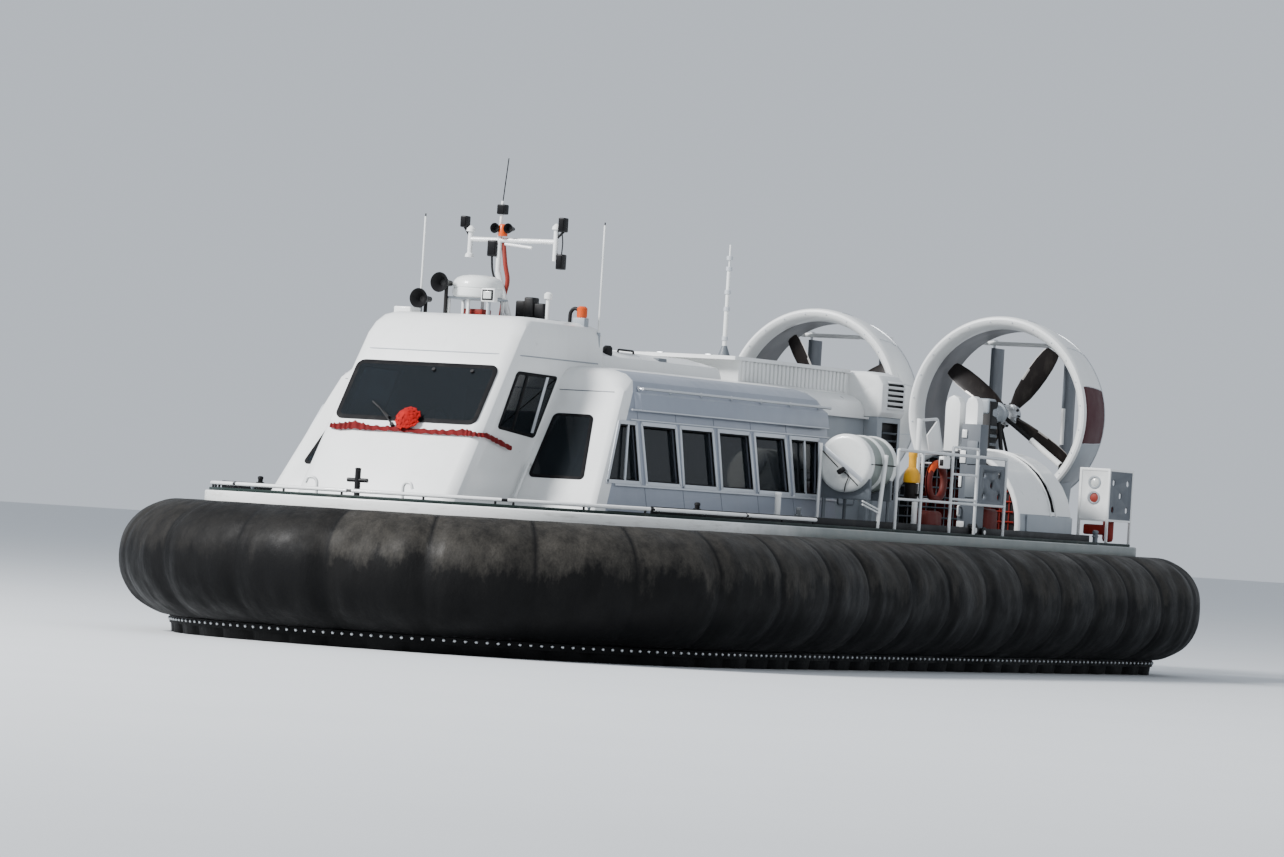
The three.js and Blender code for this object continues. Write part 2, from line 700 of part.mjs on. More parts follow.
function ductRing() {
  const r = DUCT_THROAT_R;
  const lip = DUCT_LIP_R;
  return turned(
    [
      [r, DUCT_CHORD],
      [r, 180],
      [r + 45, 35],
      [r + 95, 0],
      [lip - 12, 25],
      [lip, 100],
      [lip - 22, 420],
      [r + 70, DUCT_CHORD],
      [r, DUCT_CHORD],
    ],
    36,
  );
}

function sideGear(side) {
  const g = new THREE.Group();
  const name = (n) => n + "_" + side;

  const prop = add(g, name("propeller"), propeller(), "blade");
  prop.position.set(DUCT_X, PROP_Y, DUCT_Z);
  prop.rotation.y = THREE.MathUtils.degToRad(side === "port" ? PORT_PROP_TURN : -STBD_PROP_TURN);

  // The duct stands on a saddle cut to its outer shell.
  const shell = rod(
    [DUCT_X, DUCT_FRONT_Y - 200, DUCT_Z], [DUCT_X, DUCT_FRONT_Y + DUCT_CHORD + 200, DUCT_Z],
    DUCT_THROAT_R + 40, DUCT_THROAT_R + 40, 36,
  );
  const saddleOutline = [[-800, DECK_Z + GAP], [800, DECK_Z + GAP], [850, 2420], [-850, 2420]];
  const saddle = cut(
    prism(saddleOutline.map(([dx, z]) => [DUCT_X + dx, z]), "y", DUCT_FRONT_Y + 80, DUCT_FRONT_Y + 420),
    shell,
  );

  // Gearbox and shaft housing on a braced frame in front of the propeller.
  const hubFront = PROP_Y - 170 - GAP;
  const legs = [
    rod([DUCT_X, hubFront - 520, DUCT_Z], [DUCT_X, hubFront, DUCT_Z], 95, 70, 12),
    box(DUCT_X - 130, DUCT_X + 130, hubFront - 640, hubFront - 430, 2600, DUCT_Z + 130),
    box(DUCT_X - 180, DUCT_X + 180, hubFront - 640, hubFront - 430, DECK_Z + GAP, 2620),
    pipe([[DUCT_X - 330, hubFront - 380, DECK_Z + 40], [DUCT_X - 40, hubFront - 200, DUCT_Z - 40]], 26),
    pipe([[DUCT_X + 330, hubFront - 380, DECK_Z + 40], [DUCT_X + 40, hubFront - 200, DUCT_Z - 40]], 26),
  ];
  for (const a of [-35, 215]) {
    const t = (a * Math.PI) / 180;
    const out = DUCT_THROAT_R - 4;
    legs.push(rod(
      [DUCT_X, hubFront - 60, DUCT_Z],
      [DUCT_X + out * Math.cos(t), hubFront - 60, DUCT_Z + out * Math.sin(t)],
      26, 26, 8,
    ));
  }
  add(g, name("drive_frame"), join(legs), "black");

  for (const [tag, dx] of [["inboard", -RUDDER_DX], ["outboard", RUDDER_DX]]) {
    const foil = [[0, -60], [28, -20], [22, 90], [6, 290], [-6, 290], [-22, 90], [-28, -20]];
    const rudder = join(
      prism(foil, "z", -800, 800),
      rod([0, 0, -830 + GAP], [0, 0, 830 - GAP], 16, 16, 8),
    );
    const mesh = add(g, name("rudder_" + tag), rudder, "grey");
    mesh.position.set(DUCT_X + dx, RUDDER_Y, DUCT_Z);
  }
  // Two cross bars behind the duct carry the rudder pivots.
  const bars = [];
  for (const s of [1, -1]) {
    const z = DUCT_Z + s * 855;
    bars.push(box(DUCT_X - 600, DUCT_X + 600, RUDDER_Y - 60, RUDDER_Y + 30, z - 25, z + 25));
    for (const dx of [-580, 580]) {
      bars.push(box(
        DUCT_X + dx - 25, DUCT_X + dx + 25, DUCT_FRONT_Y + DUCT_CHORD - 30, RUDDER_Y - 50, z - 25, z + 25,
      ));
    }
  }
  const ring = ductRing().translate([DUCT_X, DUCT_FRONT_Y, DUCT_Z]);
  add(g, name("duct"), join(ring, saddle, bars), "white");

  // Lift fan under an arched casing with an open front.
  const arch = (r, y0, y1, low) => {
    const outline = [];
    for (let i = 0; i <= 16; i += 1) {
      const t = (i / 16) * Math.PI;
      outline.push([FAN_X + r * Math.cos(t), FAN_Z + r * Math.sin(t)]);
    }
    outline.push([FAN_X - r, low], [FAN_X + r, low]);
    return prism(outline, "y", y0, y1);
  };
  const slotY = (FAN_Y[0] + FAN_Y[1]) / 2 + 150;
  const slot = cut(
    arch(FAN_R + 50, slotY, slotY + 110, DECK_Z),
    arch(FAN_R - 25, slotY - 10, slotY + 120, DECK_Z - 10),
  ).intersect(box(0, 4000, slotY - 20, slotY + 130, DECK_Z + 340, 4000));
  const fanCase = cut(
    arch(FAN_R, FAN_Y[0], FAN_Y[1], DECK_Z + GAP),
    arch(FAN_R - 45, FAN_Y[0] + 50, FAN_Y[1] - 50, DECK_Z - 50),
    arch(ROTOR_R, FAN_Y[0] - 50, FAN_Y[0] + 100, DECK_Z - 50),
    slot,
  );
  const bearing = join(
    rod([FAN_X, FAN_Y[0] + 930 + GAP, FAN_Z], [FAN_X, FAN_Y[1] - 30, FAN_Z], 60, 60, 12),
    box(FAN_X - 90, FAN_X + 90, FAN_Y[1] - 250, FAN_Y[1] - 85, DECK_Z - 470, FAN_Z + 90),
  );
  add(g, name("fan_casing"), fanCase.add(bearing), "white");
  // The rotor: a hub, a back plate and a front ring, with vanes between the two.
  const rim = ROTOR_R - 20;
  const eye = ROTOR_R - 130;
  const rotor = [
    turned([[0, -330], [90, -330], [120, -250], [120, 250], [90, 330], [0, 330]], 10),
    turned([[0, 20], [rim, 20], [rim, 45], [0, 45]], 18),
    turned([[eye, -330], [rim, -330], [rim, -310], [eye, -310], [eye, -330]], 18),
  ];
  for (let i = 0; i < FAN_VANES; i += 1) {
    rotor.push(box(-14, 14, -320, 30, eye, rim - 10).rotate([0, (360 / FAN_VANES) * i, 0]));
  }
  const fan = add(g, name("lift_fan"), join(rotor), "red");
  fan.position.set(FAN_X, FAN_Y[0] + 600, FAN_Z);
  // Liferaft canister in its cradle on the side deck.
  const length = RAFT.aft - RAFT.front;
  const raft = add(g, name("liferaft_canister"), turned(
    [[0, 0], [RAFT.r - 40, 0], [RAFT.r, 35], [RAFT.r, length - 35], [RAFT.r - 40, length], [0, length]], 20,
  ), "white");
  raft.position.set(RAFT.x, RAFT.front, RAFT.z);
  const drum = rod(
    [RAFT.x, RAFT.front - 100, RAFT.z], [RAFT.x, RAFT.aft + 100, RAFT.z], RAFT.r + GAP, RAFT.r + GAP, 20,
  );
  const cradle = [];
  const baseZ = DECK_Z + 40;
  const legX = [RAFT.x - CRADLE_HALF, RAFT.x + CRADLE_HALF];
  for (const y of SADDLE_Y) {
    cradle.push(cut(box(legX[0] - 30, legX[1] + 30, y - 22, y + 22, 2005, 2230), drum));
    for (const x of legX) cradle.push(rod([x, y, DECK_Z + GAP], [x, y, 2100], 20, 20, 6));
  }
  const [baseFront, baseAft] = CRADLE_BASE_Y;
  for (const x of legX) cradle.push(rod([x, baseFront, baseZ], [x, baseAft, baseZ], 20, 20, 6));
  const [footY, headY] = SIDE_LEG.y;
  cradle.push(
    rod([legX[0], FRONT_LEG.y, DECK_Z + GAP], [legX[0], FRONT_LEG.y, FRONT_LEG.top], 17, 17, 6),
    rod([SIDE_LEG.x, footY, DECK_Z + GAP], [SIDE_LEG.x, footY, baseZ], 20, 20, 6),
    rod([SIDE_LEG.x, footY, baseZ], [SIDE_LEG.x, headY, SIDE_LEG.top], 20, 20, 6),
    rod([legX[1], footY, baseZ], [SIDE_LEG.x, footY, baseZ], 17, 17, 6),
  );
  add(g, name("raft_cradle"), join(cradle), "white");

  // A plate with five holes, in the plane x, between two y and two z.
  const holedPlate = (x0, x1, y0, y1, z0, z1) => {
    const spots = [[0.2, 0.75], [0.8, 0.75], [0.5, 0.5], [0.2, 0.22], [0.8, 0.22]];
    return cut(box(x0, x1, y0, y1, z0, z1), spots.map(([p, q]) => {
      const y = y0 + p * (y1 - y0);
      const z = z0 + q * (z1 - z0);
      return rod([x0 - 50, y, z], [x1 + 50, y, z], 42, 42, 6);
    }));
  };

  // Side rail with a boarding ladder, a holed guard panel and a tall post.
  const rail = [
    pipe([[RAIL_X, RAIL_FRONT_Y, RAIL_TOP_Z], [RAIL_X, RAIL_AFT_Y, RAIL_TOP_Z]], 17),
    pipe([[RAIL_X, RAIL_FRONT_Y, RAIL_MID_Z], [RAIL_X, RAIL_AFT_Y, RAIL_MID_Z]], 14),
  ];
  for (const y of [RAIL_FRONT_Y, MID_POST_Y, RAIL_AFT_Y]) {
    rail.push(rod([RAIL_X, y, DECK_Z + GAP], [RAIL_X, y, RAIL_TOP_Z], 17, 17, 6));
  }
  for (const y of LADDER_Y) rail.push(rod([RAIL_X, y, DECK_Z + GAP], [RAIL_X, y, RUNG_Z.at(-1)], 17, 17, 6));
  for (const z of RUNG_Z) rail.push(rod([RAIL_X, LADDER_Y[0], z], [RAIL_X, LADDER_Y[1], z], 12, 12, 6));
  rail.push(holedPlate(...PANEL_X, ...PANEL_Y, ...PANEL_Z));
  rail.push(rod([GAP_POST.x, GAP_POST.y, DECK_Z + GAP], [GAP_POST.x, GAP_POST.y, GAP_POST.top], 32, 32, 10));
  rail.push(rod([GAP_POST.x, GAP_POST.y, RAIL_TOP_Z - 20], [RAIL_X, GAP_POST.y, RAIL_TOP_Z], 14, 14, 6));
  add(g, name("side_rail"), join(rail), "white");

  // Locker column with a flat round-topped vent cowl on it, and a taller one beside it on a bracket.
  const cowl = (x, half, low) => prism(
    [
      [x - half, low], [x + half, low], [x + half, COWL_TOP_Z - 90], [x + 0.7 * half, COWL_TOP_Z - 30],
      [x, COWL_TOP_Z], [x - 0.7 * half, COWL_TOP_Z - 30], [x - half, COWL_TOP_Z - 90],
    ],
    "y", LOCKER.y[0] + 40, LOCKER.y[0] + 190,
  );
  const [tallX, , tallFoot] = COWLS[0];
  const bracketY = [LOCKER.y[0] + 50, LOCKER.y[0] + 150];
  add(g, name("locker"), join(
    box(...LOCKER.x, ...LOCKER.y, DECK_Z + GAP, LOCKER.top),
    COWLS.map((sizes) => cowl(...sizes)),
    box(tallX, LOCKER.x[0] + 5, ...bracketY, tallFoot + 15, tallFoot + 55),
  ), "grey");

  // Guard frame beside the duct, with a plate ahead that has two round holes.
  const [gx0, gx1] = GUARD_X;
  const [gy0, gy1] = GUARD_Y;
  const bar = 30;
  const guardTop = [2545, 2575];
  const guardLow = [1960, 1985];
  const frame = [
    [gx0, gy0],
    [gx1 - bar, gy0],
    [gx1 - bar, gy1 - bar],
  ].map(([x, y]) => box(x, x + bar, y, y + bar, DECK_Z + GAP, guardTop[1] - 5));
  for (const level of [guardTop, guardLow]) {
    frame.push(box(gx0, gx1, gy0, gy0 + bar, ...level), box(gx1 - bar, gx1, gy0, gy1, ...level));
  }
  frame.push(cut(
    box(gx0 + 10, gx1 - 15, gy0 + 8, gy0 + 22, 1970, 2560),
    [2230, 2410].map((z) => rod([2560, gy0 - 90, z], [2560, gy0 + 110, z], 60, 60, 14)),
  ));
  frame.push(holedPlate(gx1 - 23, gx1 - 7, gy0 + 10, gy1 - 10, 1970, 2560));
  add(g, name("aft_guard"), join(frame), "white");

  return g;
}

const port = sideGear("port");
const starboard = sideGear("stbd");
starboard.scale.x = -1;
group.add(port, starboard);

// Toe rail: a base strip along the deck edge to the stern, with a tube on it round the bow.
function railPath(offset, aftY) {
  const loop = plan(offset);
  const half = loop.slice(0, 17).concat([[HALF_BEAM + offset, aftY]]);
  const starboardHalf = half.slice(1).reverse().map(([x, y]) => [-x, y]);
  return [...starboardHalf, ...half];
}
const stripOuter = railPath(-40, TOE_STRIP_AFT_Y);
const stripInner = railPath(-90, TOE_STRIP_AFT_Y);
const stripLoops = stripOuter.map(([x, y], i) => [
  [x, y, DECK_Z + GAP],
  [x, y, DECK_Z + 30],
  [stripInner[i][0], stripInner[i][1], DECK_Z + 30],
  [stripInner[i][0], stripInner[i][1], DECK_Z + GAP],
]);
const tubeCentre = at(railPath(-65, TOE_TUBE_AFT_Y), DECK_Z + 75);
const tubeNormals = railPath(-35, TOE_TUBE_AFT_Y);
const toeTube = loft(tubeCentre.map(([x, y, z], i) => {
  const out = new THREE.Vector2(tubeNormals[i][0] - x, tubeNormals[i][1] - y).normalize();
  return [0, 1, 2, 3].map((k) => {
    const t = (k / 4) * Math.PI * 2;
    return [x + out.x * 20 * Math.cos(t), y + out.y * 20 * Math.cos(t), z + 20 * Math.sin(t)];
  });
}));
const feet = tubeCentre.filter((_, i) => i % 4 === 1).map(
  ([x, y, z]) => rod([x, y, DECK_Z + 20], [x, y, z], 14, 14, 6),
);
add(group, "toe_rail", join(loft(stripLoops), toeTube, feet), "white");

// Roof gear on the pilothouse: a radome on a low stand, and a mast with a cross bar.
const DOME = { x: -150, y: -4130, base: 3835 };
const standX = [DOME.x - 270, DOME.x + 270];
const standY = [DOME.y - 170, DOME.y + 170];
const stand = join(
  box(...standX, ...standY, ROOF_Z + GAP, ROOF_Z + 12),
  box(...standX, ...standY, DOME.base - 20, DOME.base + 5),
);
const standLegs = standX.flatMap((x) => standY.map((y) => [x, y])).map(([x, y]) => {
  const inX = x - 20 * Math.sign(x - DOME.x);
  const inY = y - 20 * Math.sign(y - DOME.y);
  return box(inX - 15, inX + 15, inY - 15, inY + 15, ROOF_Z + 5, DOME.base - 5);
});
const domeProfile = [[0, 0], [235, 0], [265, 30], [265, 130], [240, 190], [170, 228], [0, 240]];
const dome = new THREE.LatheGeometry(domeProfile.map(([r, z]) => new THREE.Vector2(r, z)), 20);
dome.rotateX(Math.PI / 2);
dome.translate(DOME.x, DOME.y, DOME.base);
add(group, "radome", join(stand, standLegs, solid(dome)), "white");

const mastRods = [
  // x and z at the foot, x and z at the head, radius at the foot, radius at the head
  [0, ROOF_Z + 11.5, -170, 4130, 32, 28],
  [-170, 4100, -170, 4620, 28, 22],
  [-520, 4470, 500, 4470, 26, 26],
  [-520, 4280, -520, 4560, 24, 24],
  [500, 4260, 500, 4640, 24, 24],
  [-170, 4610, -160, 4880, 20, 14],
  [-160, 4870, -120, 5330, 8, 6],
];
add(group, "signal_mast", join(
  box(-150, 150, MAST_Y - 110, MAST_Y + 110, ROOF_Z + GAP, ROOF_Z + 12),
  mastRods.map(([x0, z0, x1, z1, r0, r1]) => rod([x0, MAST_Y, z0], [x1, MAST_Y, z1], r0, r1, 8)),
), "white");

export default group;
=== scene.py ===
"""Passenger hovercraft: the looks of every surface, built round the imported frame.

Metres, +Z up, the bow points to -Y and +X is the port side. The floor lies at the waterline.
"""

import json
import logging
import math
from dataclasses import dataclass
from enum import Enum
from typing import Callable, Iterable, Sequence

import bmesh
import bpy
from mathutils import Matrix, Vector, noise


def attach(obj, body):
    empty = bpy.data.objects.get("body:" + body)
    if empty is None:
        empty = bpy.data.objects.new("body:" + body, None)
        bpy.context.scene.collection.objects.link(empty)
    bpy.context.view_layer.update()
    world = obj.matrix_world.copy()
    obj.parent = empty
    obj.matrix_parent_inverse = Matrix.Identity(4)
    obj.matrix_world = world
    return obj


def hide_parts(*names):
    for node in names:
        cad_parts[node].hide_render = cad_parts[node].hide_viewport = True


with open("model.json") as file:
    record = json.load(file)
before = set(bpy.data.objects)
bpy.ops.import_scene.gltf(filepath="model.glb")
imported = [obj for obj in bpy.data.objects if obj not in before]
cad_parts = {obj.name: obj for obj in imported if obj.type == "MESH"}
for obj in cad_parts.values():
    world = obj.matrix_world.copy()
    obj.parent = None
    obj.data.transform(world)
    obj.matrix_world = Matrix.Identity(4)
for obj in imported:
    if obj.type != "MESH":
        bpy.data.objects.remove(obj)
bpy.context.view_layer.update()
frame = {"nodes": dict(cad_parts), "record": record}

log = logging.getLogger("hovercraft")
Point = tuple[float, float, float]
Pair = tuple[float, float]
Color = tuple[float, float, float]
Object = bpy.types.Object
CRAFT = "craft"


class Side(Enum):
    """The two sides of the craft, with the sign of X on each."""

    PORT = 1
    STBD = -1

    @property
    def tag(self) -> str:
        """The side's ending in the names of nodes and pieces."""
        return self.name.lower()

    def x(self, value: float) -> float:
        """A port-side X value carried to this side."""
        return self.value * value


class Axis(Enum):
    """The axis that a turned or flat piece is made along."""

    X = Matrix.Rotation(math.pi / 2, 4, "Y")
    Y = Matrix.Rotation(-math.pi / 2, 4, "X")
    Z = Matrix.Identity(4)


# Finishes: each one makes a node material on Object coordinates.


class Graph:
    """A short way to lay out a material's nodes."""

    def __init__(self, name: str) -> None:
        """Starts a material with one Principled shader.

        Args:
            name: the material's name.
        """
        self.material = bpy.data.materials.new(name)
        self.material.use_nodes = True
        self.tree = self.material.node_tree
        self.shader = self.tree.nodes["Principled BSDF"]
        self.coords = self.tree.nodes.new("ShaderNodeTexCoord").outputs["Object"]

    def link(self, output: bpy.types.NodeSocket, name: str) -> None:
        """Links an output to one of the shader's inputs."""
        self.tree.links.new(output, self.shader.inputs[name])

    def set(self, **values: float | Color) -> None:
        """Sets constants on the shader's own sockets, named with underscores for spaces."""
        for key, value in values.items():
            socket = self.shader.inputs[key.replace("_", " ")]
            socket.default_value = (*value, 1.0) if isinstance(value, tuple) else value

    def noise(self, scale: float, stretch: Point = (1, 1, 1), detail: float = 4, rough: float = 0.55):
        """A noise pattern on Object coordinates.

        Args:
            scale: cycles in a metre.
            stretch: how the coordinates are scaled on each axis first.
            detail: levels of detail.
            rough: how much the fine levels count.

        Returns:
            The noise's value output.
        """
        mapping = self.tree.nodes.new("ShaderNodeMapping")
        mapping.inputs["Scale"].default_value = stretch
        self.tree.links.new(self.coords, mapping.inputs["Vector"])
        node = self.tree.nodes.new("ShaderNodeTexNoise")
        node.inputs["Scale"].default_value = scale
        node.inputs["Detail"].default_value = detail
        node.inputs["Roughness"].default_value = rough
        self.tree.links.new(mapping.outputs["Vector"], node.inputs["Vector"])
        return node.outputs["Fac"]

    def ramp(self, value, low: float, high: float, start: float = 0.0, end: float = 1.0):
        """Maps a value from low..high to start..end, held inside that range."""
        node = self.tree.nodes.new("ShaderNodeMapRange")
        node.clamp = True
        for name, number in zip(("From Min", "From Max", "To Min", "To Max"), (low, high, start, end)):
            node.inputs[name].default_value = number
        self.tree.links.new(value, node.inputs["Value"])
        return node.outputs["Result"]

    def mix(self, factor, first, second):
        """A colour between two, each a colour or a socket."""
        node = self.tree.nodes.new("ShaderNodeMix")
        node.data_type = "RGBA"
        self.tree.links.new(factor, node.inputs["Factor"])
        for socket, value in ((node.inputs[6], first), (node.inputs[7], second)):
            if isinstance(value, tuple):
                socket.default_value = (*value, 1.0)
            else:
                self.tree.links.new(value, socket)
        return node.outputs[2]

    def axis(self, letter: str):
        """One coordinate of the point being shaded, in metres."""
        node = self.tree.nodes.new("ShaderNodeSeparateXYZ")
        self.tree.links.new(self.coords, node.inputs[0])
        return node.outputs[letter]

    def attribute(self, name: str):
        """A value that the mesh keeps under this name."""
        node = self.tree.nodes.new("ShaderNodeAttribute")
        node.attribute_name = name
        return node.outputs["Fac"]

    def math(self, operation: str, first, second):
        """The result of a sum on two values."""
        node = self.tree.nodes.new("ShaderNodeMath")
        node.operation = operation
        self.tree.links.new(first, node.inputs[0])
        self.tree.links.new(second, node.inputs[1])
        return node.outputs[0]

    def times(self, first, second):
        """The product of two values."""
        return self.math("MULTIPLY", first, second)

    def total(self, first, second):
        """The sum of two values."""
        return self.math("ADD", first, second)

    def most(self, first, second):
        """The greater of two values."""
        return self.math("MAXIMUM", first, second)

    def bump(self, *layers: tuple[bpy.types.NodeSocket, float]) -> None:
        """Stacks bump layers, each a height and its depth in metres, on the shader."""
        normal = None
        for height, depth in layers:
            node = self.tree.nodes.new("ShaderNodeBump")
            node.inputs["Strength"].default_value = 1.0
            node.inputs["Distance"].default_value = depth
            self.tree.links.new(height, node.inputs["Height"])
            if normal is not None:
                self.tree.links.new(normal, node.inputs["Normal"])
            normal = node.outputs["Normal"]
        self.link(normal, "Normal")


@dataclass(frozen=True)
class Paint:
    """A painted or moulded surface with faint stains, streaks and a fine grain."""

    name: str
    color: Color
    rough: float = 0.36
    metal: float = 0.0
    coat: float = 0.2
    stain: Color = (0.30, 0.27, 0.23)
    stained: float = 0.16
    grain: float = 180.0
    depth: float = 0.0004
    specular: float = 0.5

    def material(self) -> bpy.types.Material:
        """Builds the material."""
        g = Graph(self.name)
        tone = g.ramp(g.noise(0.9), 0.3, 0.7, 0.0, 1.0)
        shade = tuple(0.9 * c for c in self.color)
        base = g.mix(tone, self.color, shade)
        streaks = g.ramp(g.noise(7.0, (1, 1, 0.12), 6, 0.62), 0.54, 0.80, 0.0, self.stained)
        specks = g.ramp(g.noise(34.0, (1, 1, 0.7), 6, 0.7), 0.60, 0.78, 0.0, self.stained * 0.8)
        base = g.mix(streaks, base, self.stain)
        base = g.mix(specks, base, self.stain)
        g.link(base, "Base Color")
        g.link(g.ramp(g.noise(5.0), 0.3, 0.7, self.rough - 0.05, self.rough + 0.08), "Roughness")
        g.set(
            Metallic=self.metal, Coat_Weight=self.coat, Coat_Roughness=0.12, Specular_IOR_Level=self.specular,
        )
        g.bump((g.noise(self.grain, detail=2), self.depth), (g.noise(3.0, detail=2), 0.0015))
        return g.material


@dataclass(frozen=True)
class Rubber:
    """Coated black skirt fabric: dusty above, wet black below, creased and scuffed."""

    name: str
    color: Color = (0.002, 0.002, 0.0023)
    dust: Color = (0.070, 0.064, 0.055)
    edge: Pair = (1.02, 1.20)

    def material(self) -> bpy.types.Material:
        """Builds the material."""
        g = Graph(self.name)
        ragged = g.noise(3.2, (1, 1, 0.45), 7, 0.7)
        height = g.total(g.axis("Z"), g.ramp(ragged, 0.25, 0.75, -0.28, 0.28))
        above = g.ramp(height, *self.edge)
        below = g.ramp(height, 0.35, 1.1, 0.0, 0.07)
        panel = g.ramp(g.attribute("dust"), 0.0, 1.0, 0.05, 1.0)
        streaks = g.ramp(g.noise(5.0, (1, 1, 0.5), 8, 0.72), 0.36, 0.72, 0.25, 1.0)
        fine = g.ramp(g.noise(55.0, (1, 1, 0.6), 6, 0.75), 0.35, 0.75, 0.55, 1.0)
        amount = g.times(g.times(panel, g.most(above, below)), g.times(streaks, fine))
        base = g.mix(amount, self.color, self.dust)
        mottle = g.times(g.ramp(g.noise(13.0, detail=7, rough=0.7), 0.56, 0.66), g.times(above, panel))
        g.link(g.mix(mottle, base, tuple(0.35 * c for c in self.dust)), "Base Color")
        gloss = g.ramp(g.noise(2.6, (1, 1, 0.7), 6, 0.65), 0.35, 0.66, 0.44, 0.72)
        g.link(gloss, "Roughness")
        g.set(Specular_IOR_Level=0.11)
        creases = g.noise(8.0, (1, 1, 0.4), 4, 0.55)
        g.bump((g.noise(420.0, detail=1), 0.0005), (g.noise(24.0, (1, 1, 0.6), 4), 0.003), (creases, 0.007))
        return g.material


@dataclass(frozen=True)
class Glass:
    """Tinted window glass with faint dust, seen through darkly."""

    name: str
    tint: Color = (0.055, 0.068, 0.08)

    def material(self) -> bpy.types.Material:
        """Builds the material."""
        g = Graph(self.name)
        dust = g.ramp(g.noise(14.0, (1, 1, 0.4), 5, 0.7), 0.5, 0.8, 0.0, 0.05)
        g.link(g.mix(dust, self.tint, (0.30, 0.31, 0.30)), "Base Color")
        g.link(g.ramp(g.noise(3.0), 0.3, 0.7, 0.03, 0.09), "Roughness")
        g.set(Transmission_Weight=0.85, IOR=1.22)
        return g.material


@dataclass(frozen=True)
class Cloth:
    """Woven cloth with a fine thread pattern and soft sheen."""

    name: str
    color: Color
    thread: float = 900.0
    sheen: float = 0.25

    def material(self) -> bpy.types.Material:
        """Builds the material."""
        g = Graph(self.name)
        weave = g.noise(self.thread, (1, 0.25, 1), 2)
        tone = g.ramp(g.noise(12.0), 0.3, 0.7)
        g.link(g.mix(tone, self.color, tuple(0.62 * c for c in self.color)), "Base Color")
        g.link(g.ramp(weave, 0.3, 0.7, 0.7, 0.9), "Roughness")
        g.set(Sheen_Weight=self.sheen, Sheen_Roughness=0.5, Specular_IOR_Level=0.2)
        g.bump((weave, 0.0006), (g.noise(18.0), 0.004))
        return g.material


@dataclass(frozen=True)
class Band(Paint):
    """The deck edge's paint: white at the bow, with a painted shade that turns it grey-green towards the stern,
    and real wear.
    """

    # aft is the painted shade's grey-green; turn is the stretch along Y where the painted shade comes in.
    aft: Color = (0.19, 0.215, 0.205)
    turn: Pair = (-3.8, -1.9)

    def material(self) -> bpy.types.Material:
        """Builds the material."""
        g = Graph(self.name)
        place = g.total(g.axis("Y"), g.ramp(g.noise(1.6, detail=6), 0.2, 0.8, -0.7, 0.7))
        # Painted shade: the white gives way to the aft grey-green along Y.
        base = g.mix(g.ramp(place, *self.turn), self.color, self.aft)
        wear = g.ramp(g.noise(9.0, (0.4, 0.4, 2.0), 7, 0.7), 0.52, 0.72, 0.0, 0.45)
        g.link(g.mix(wear, base, self.stain), "Base Color")
        g.link(g.ramp(g.noise(5.0), 0.3, 0.7, self.rough - 0.05, self.rough + 0.1), "Roughness")
        g.set(Coat_Weight=self.coat, Coat_Roughness=0.12)
        g.bump((g.noise(self.grain, detail=2), self.depth))
        return g.material


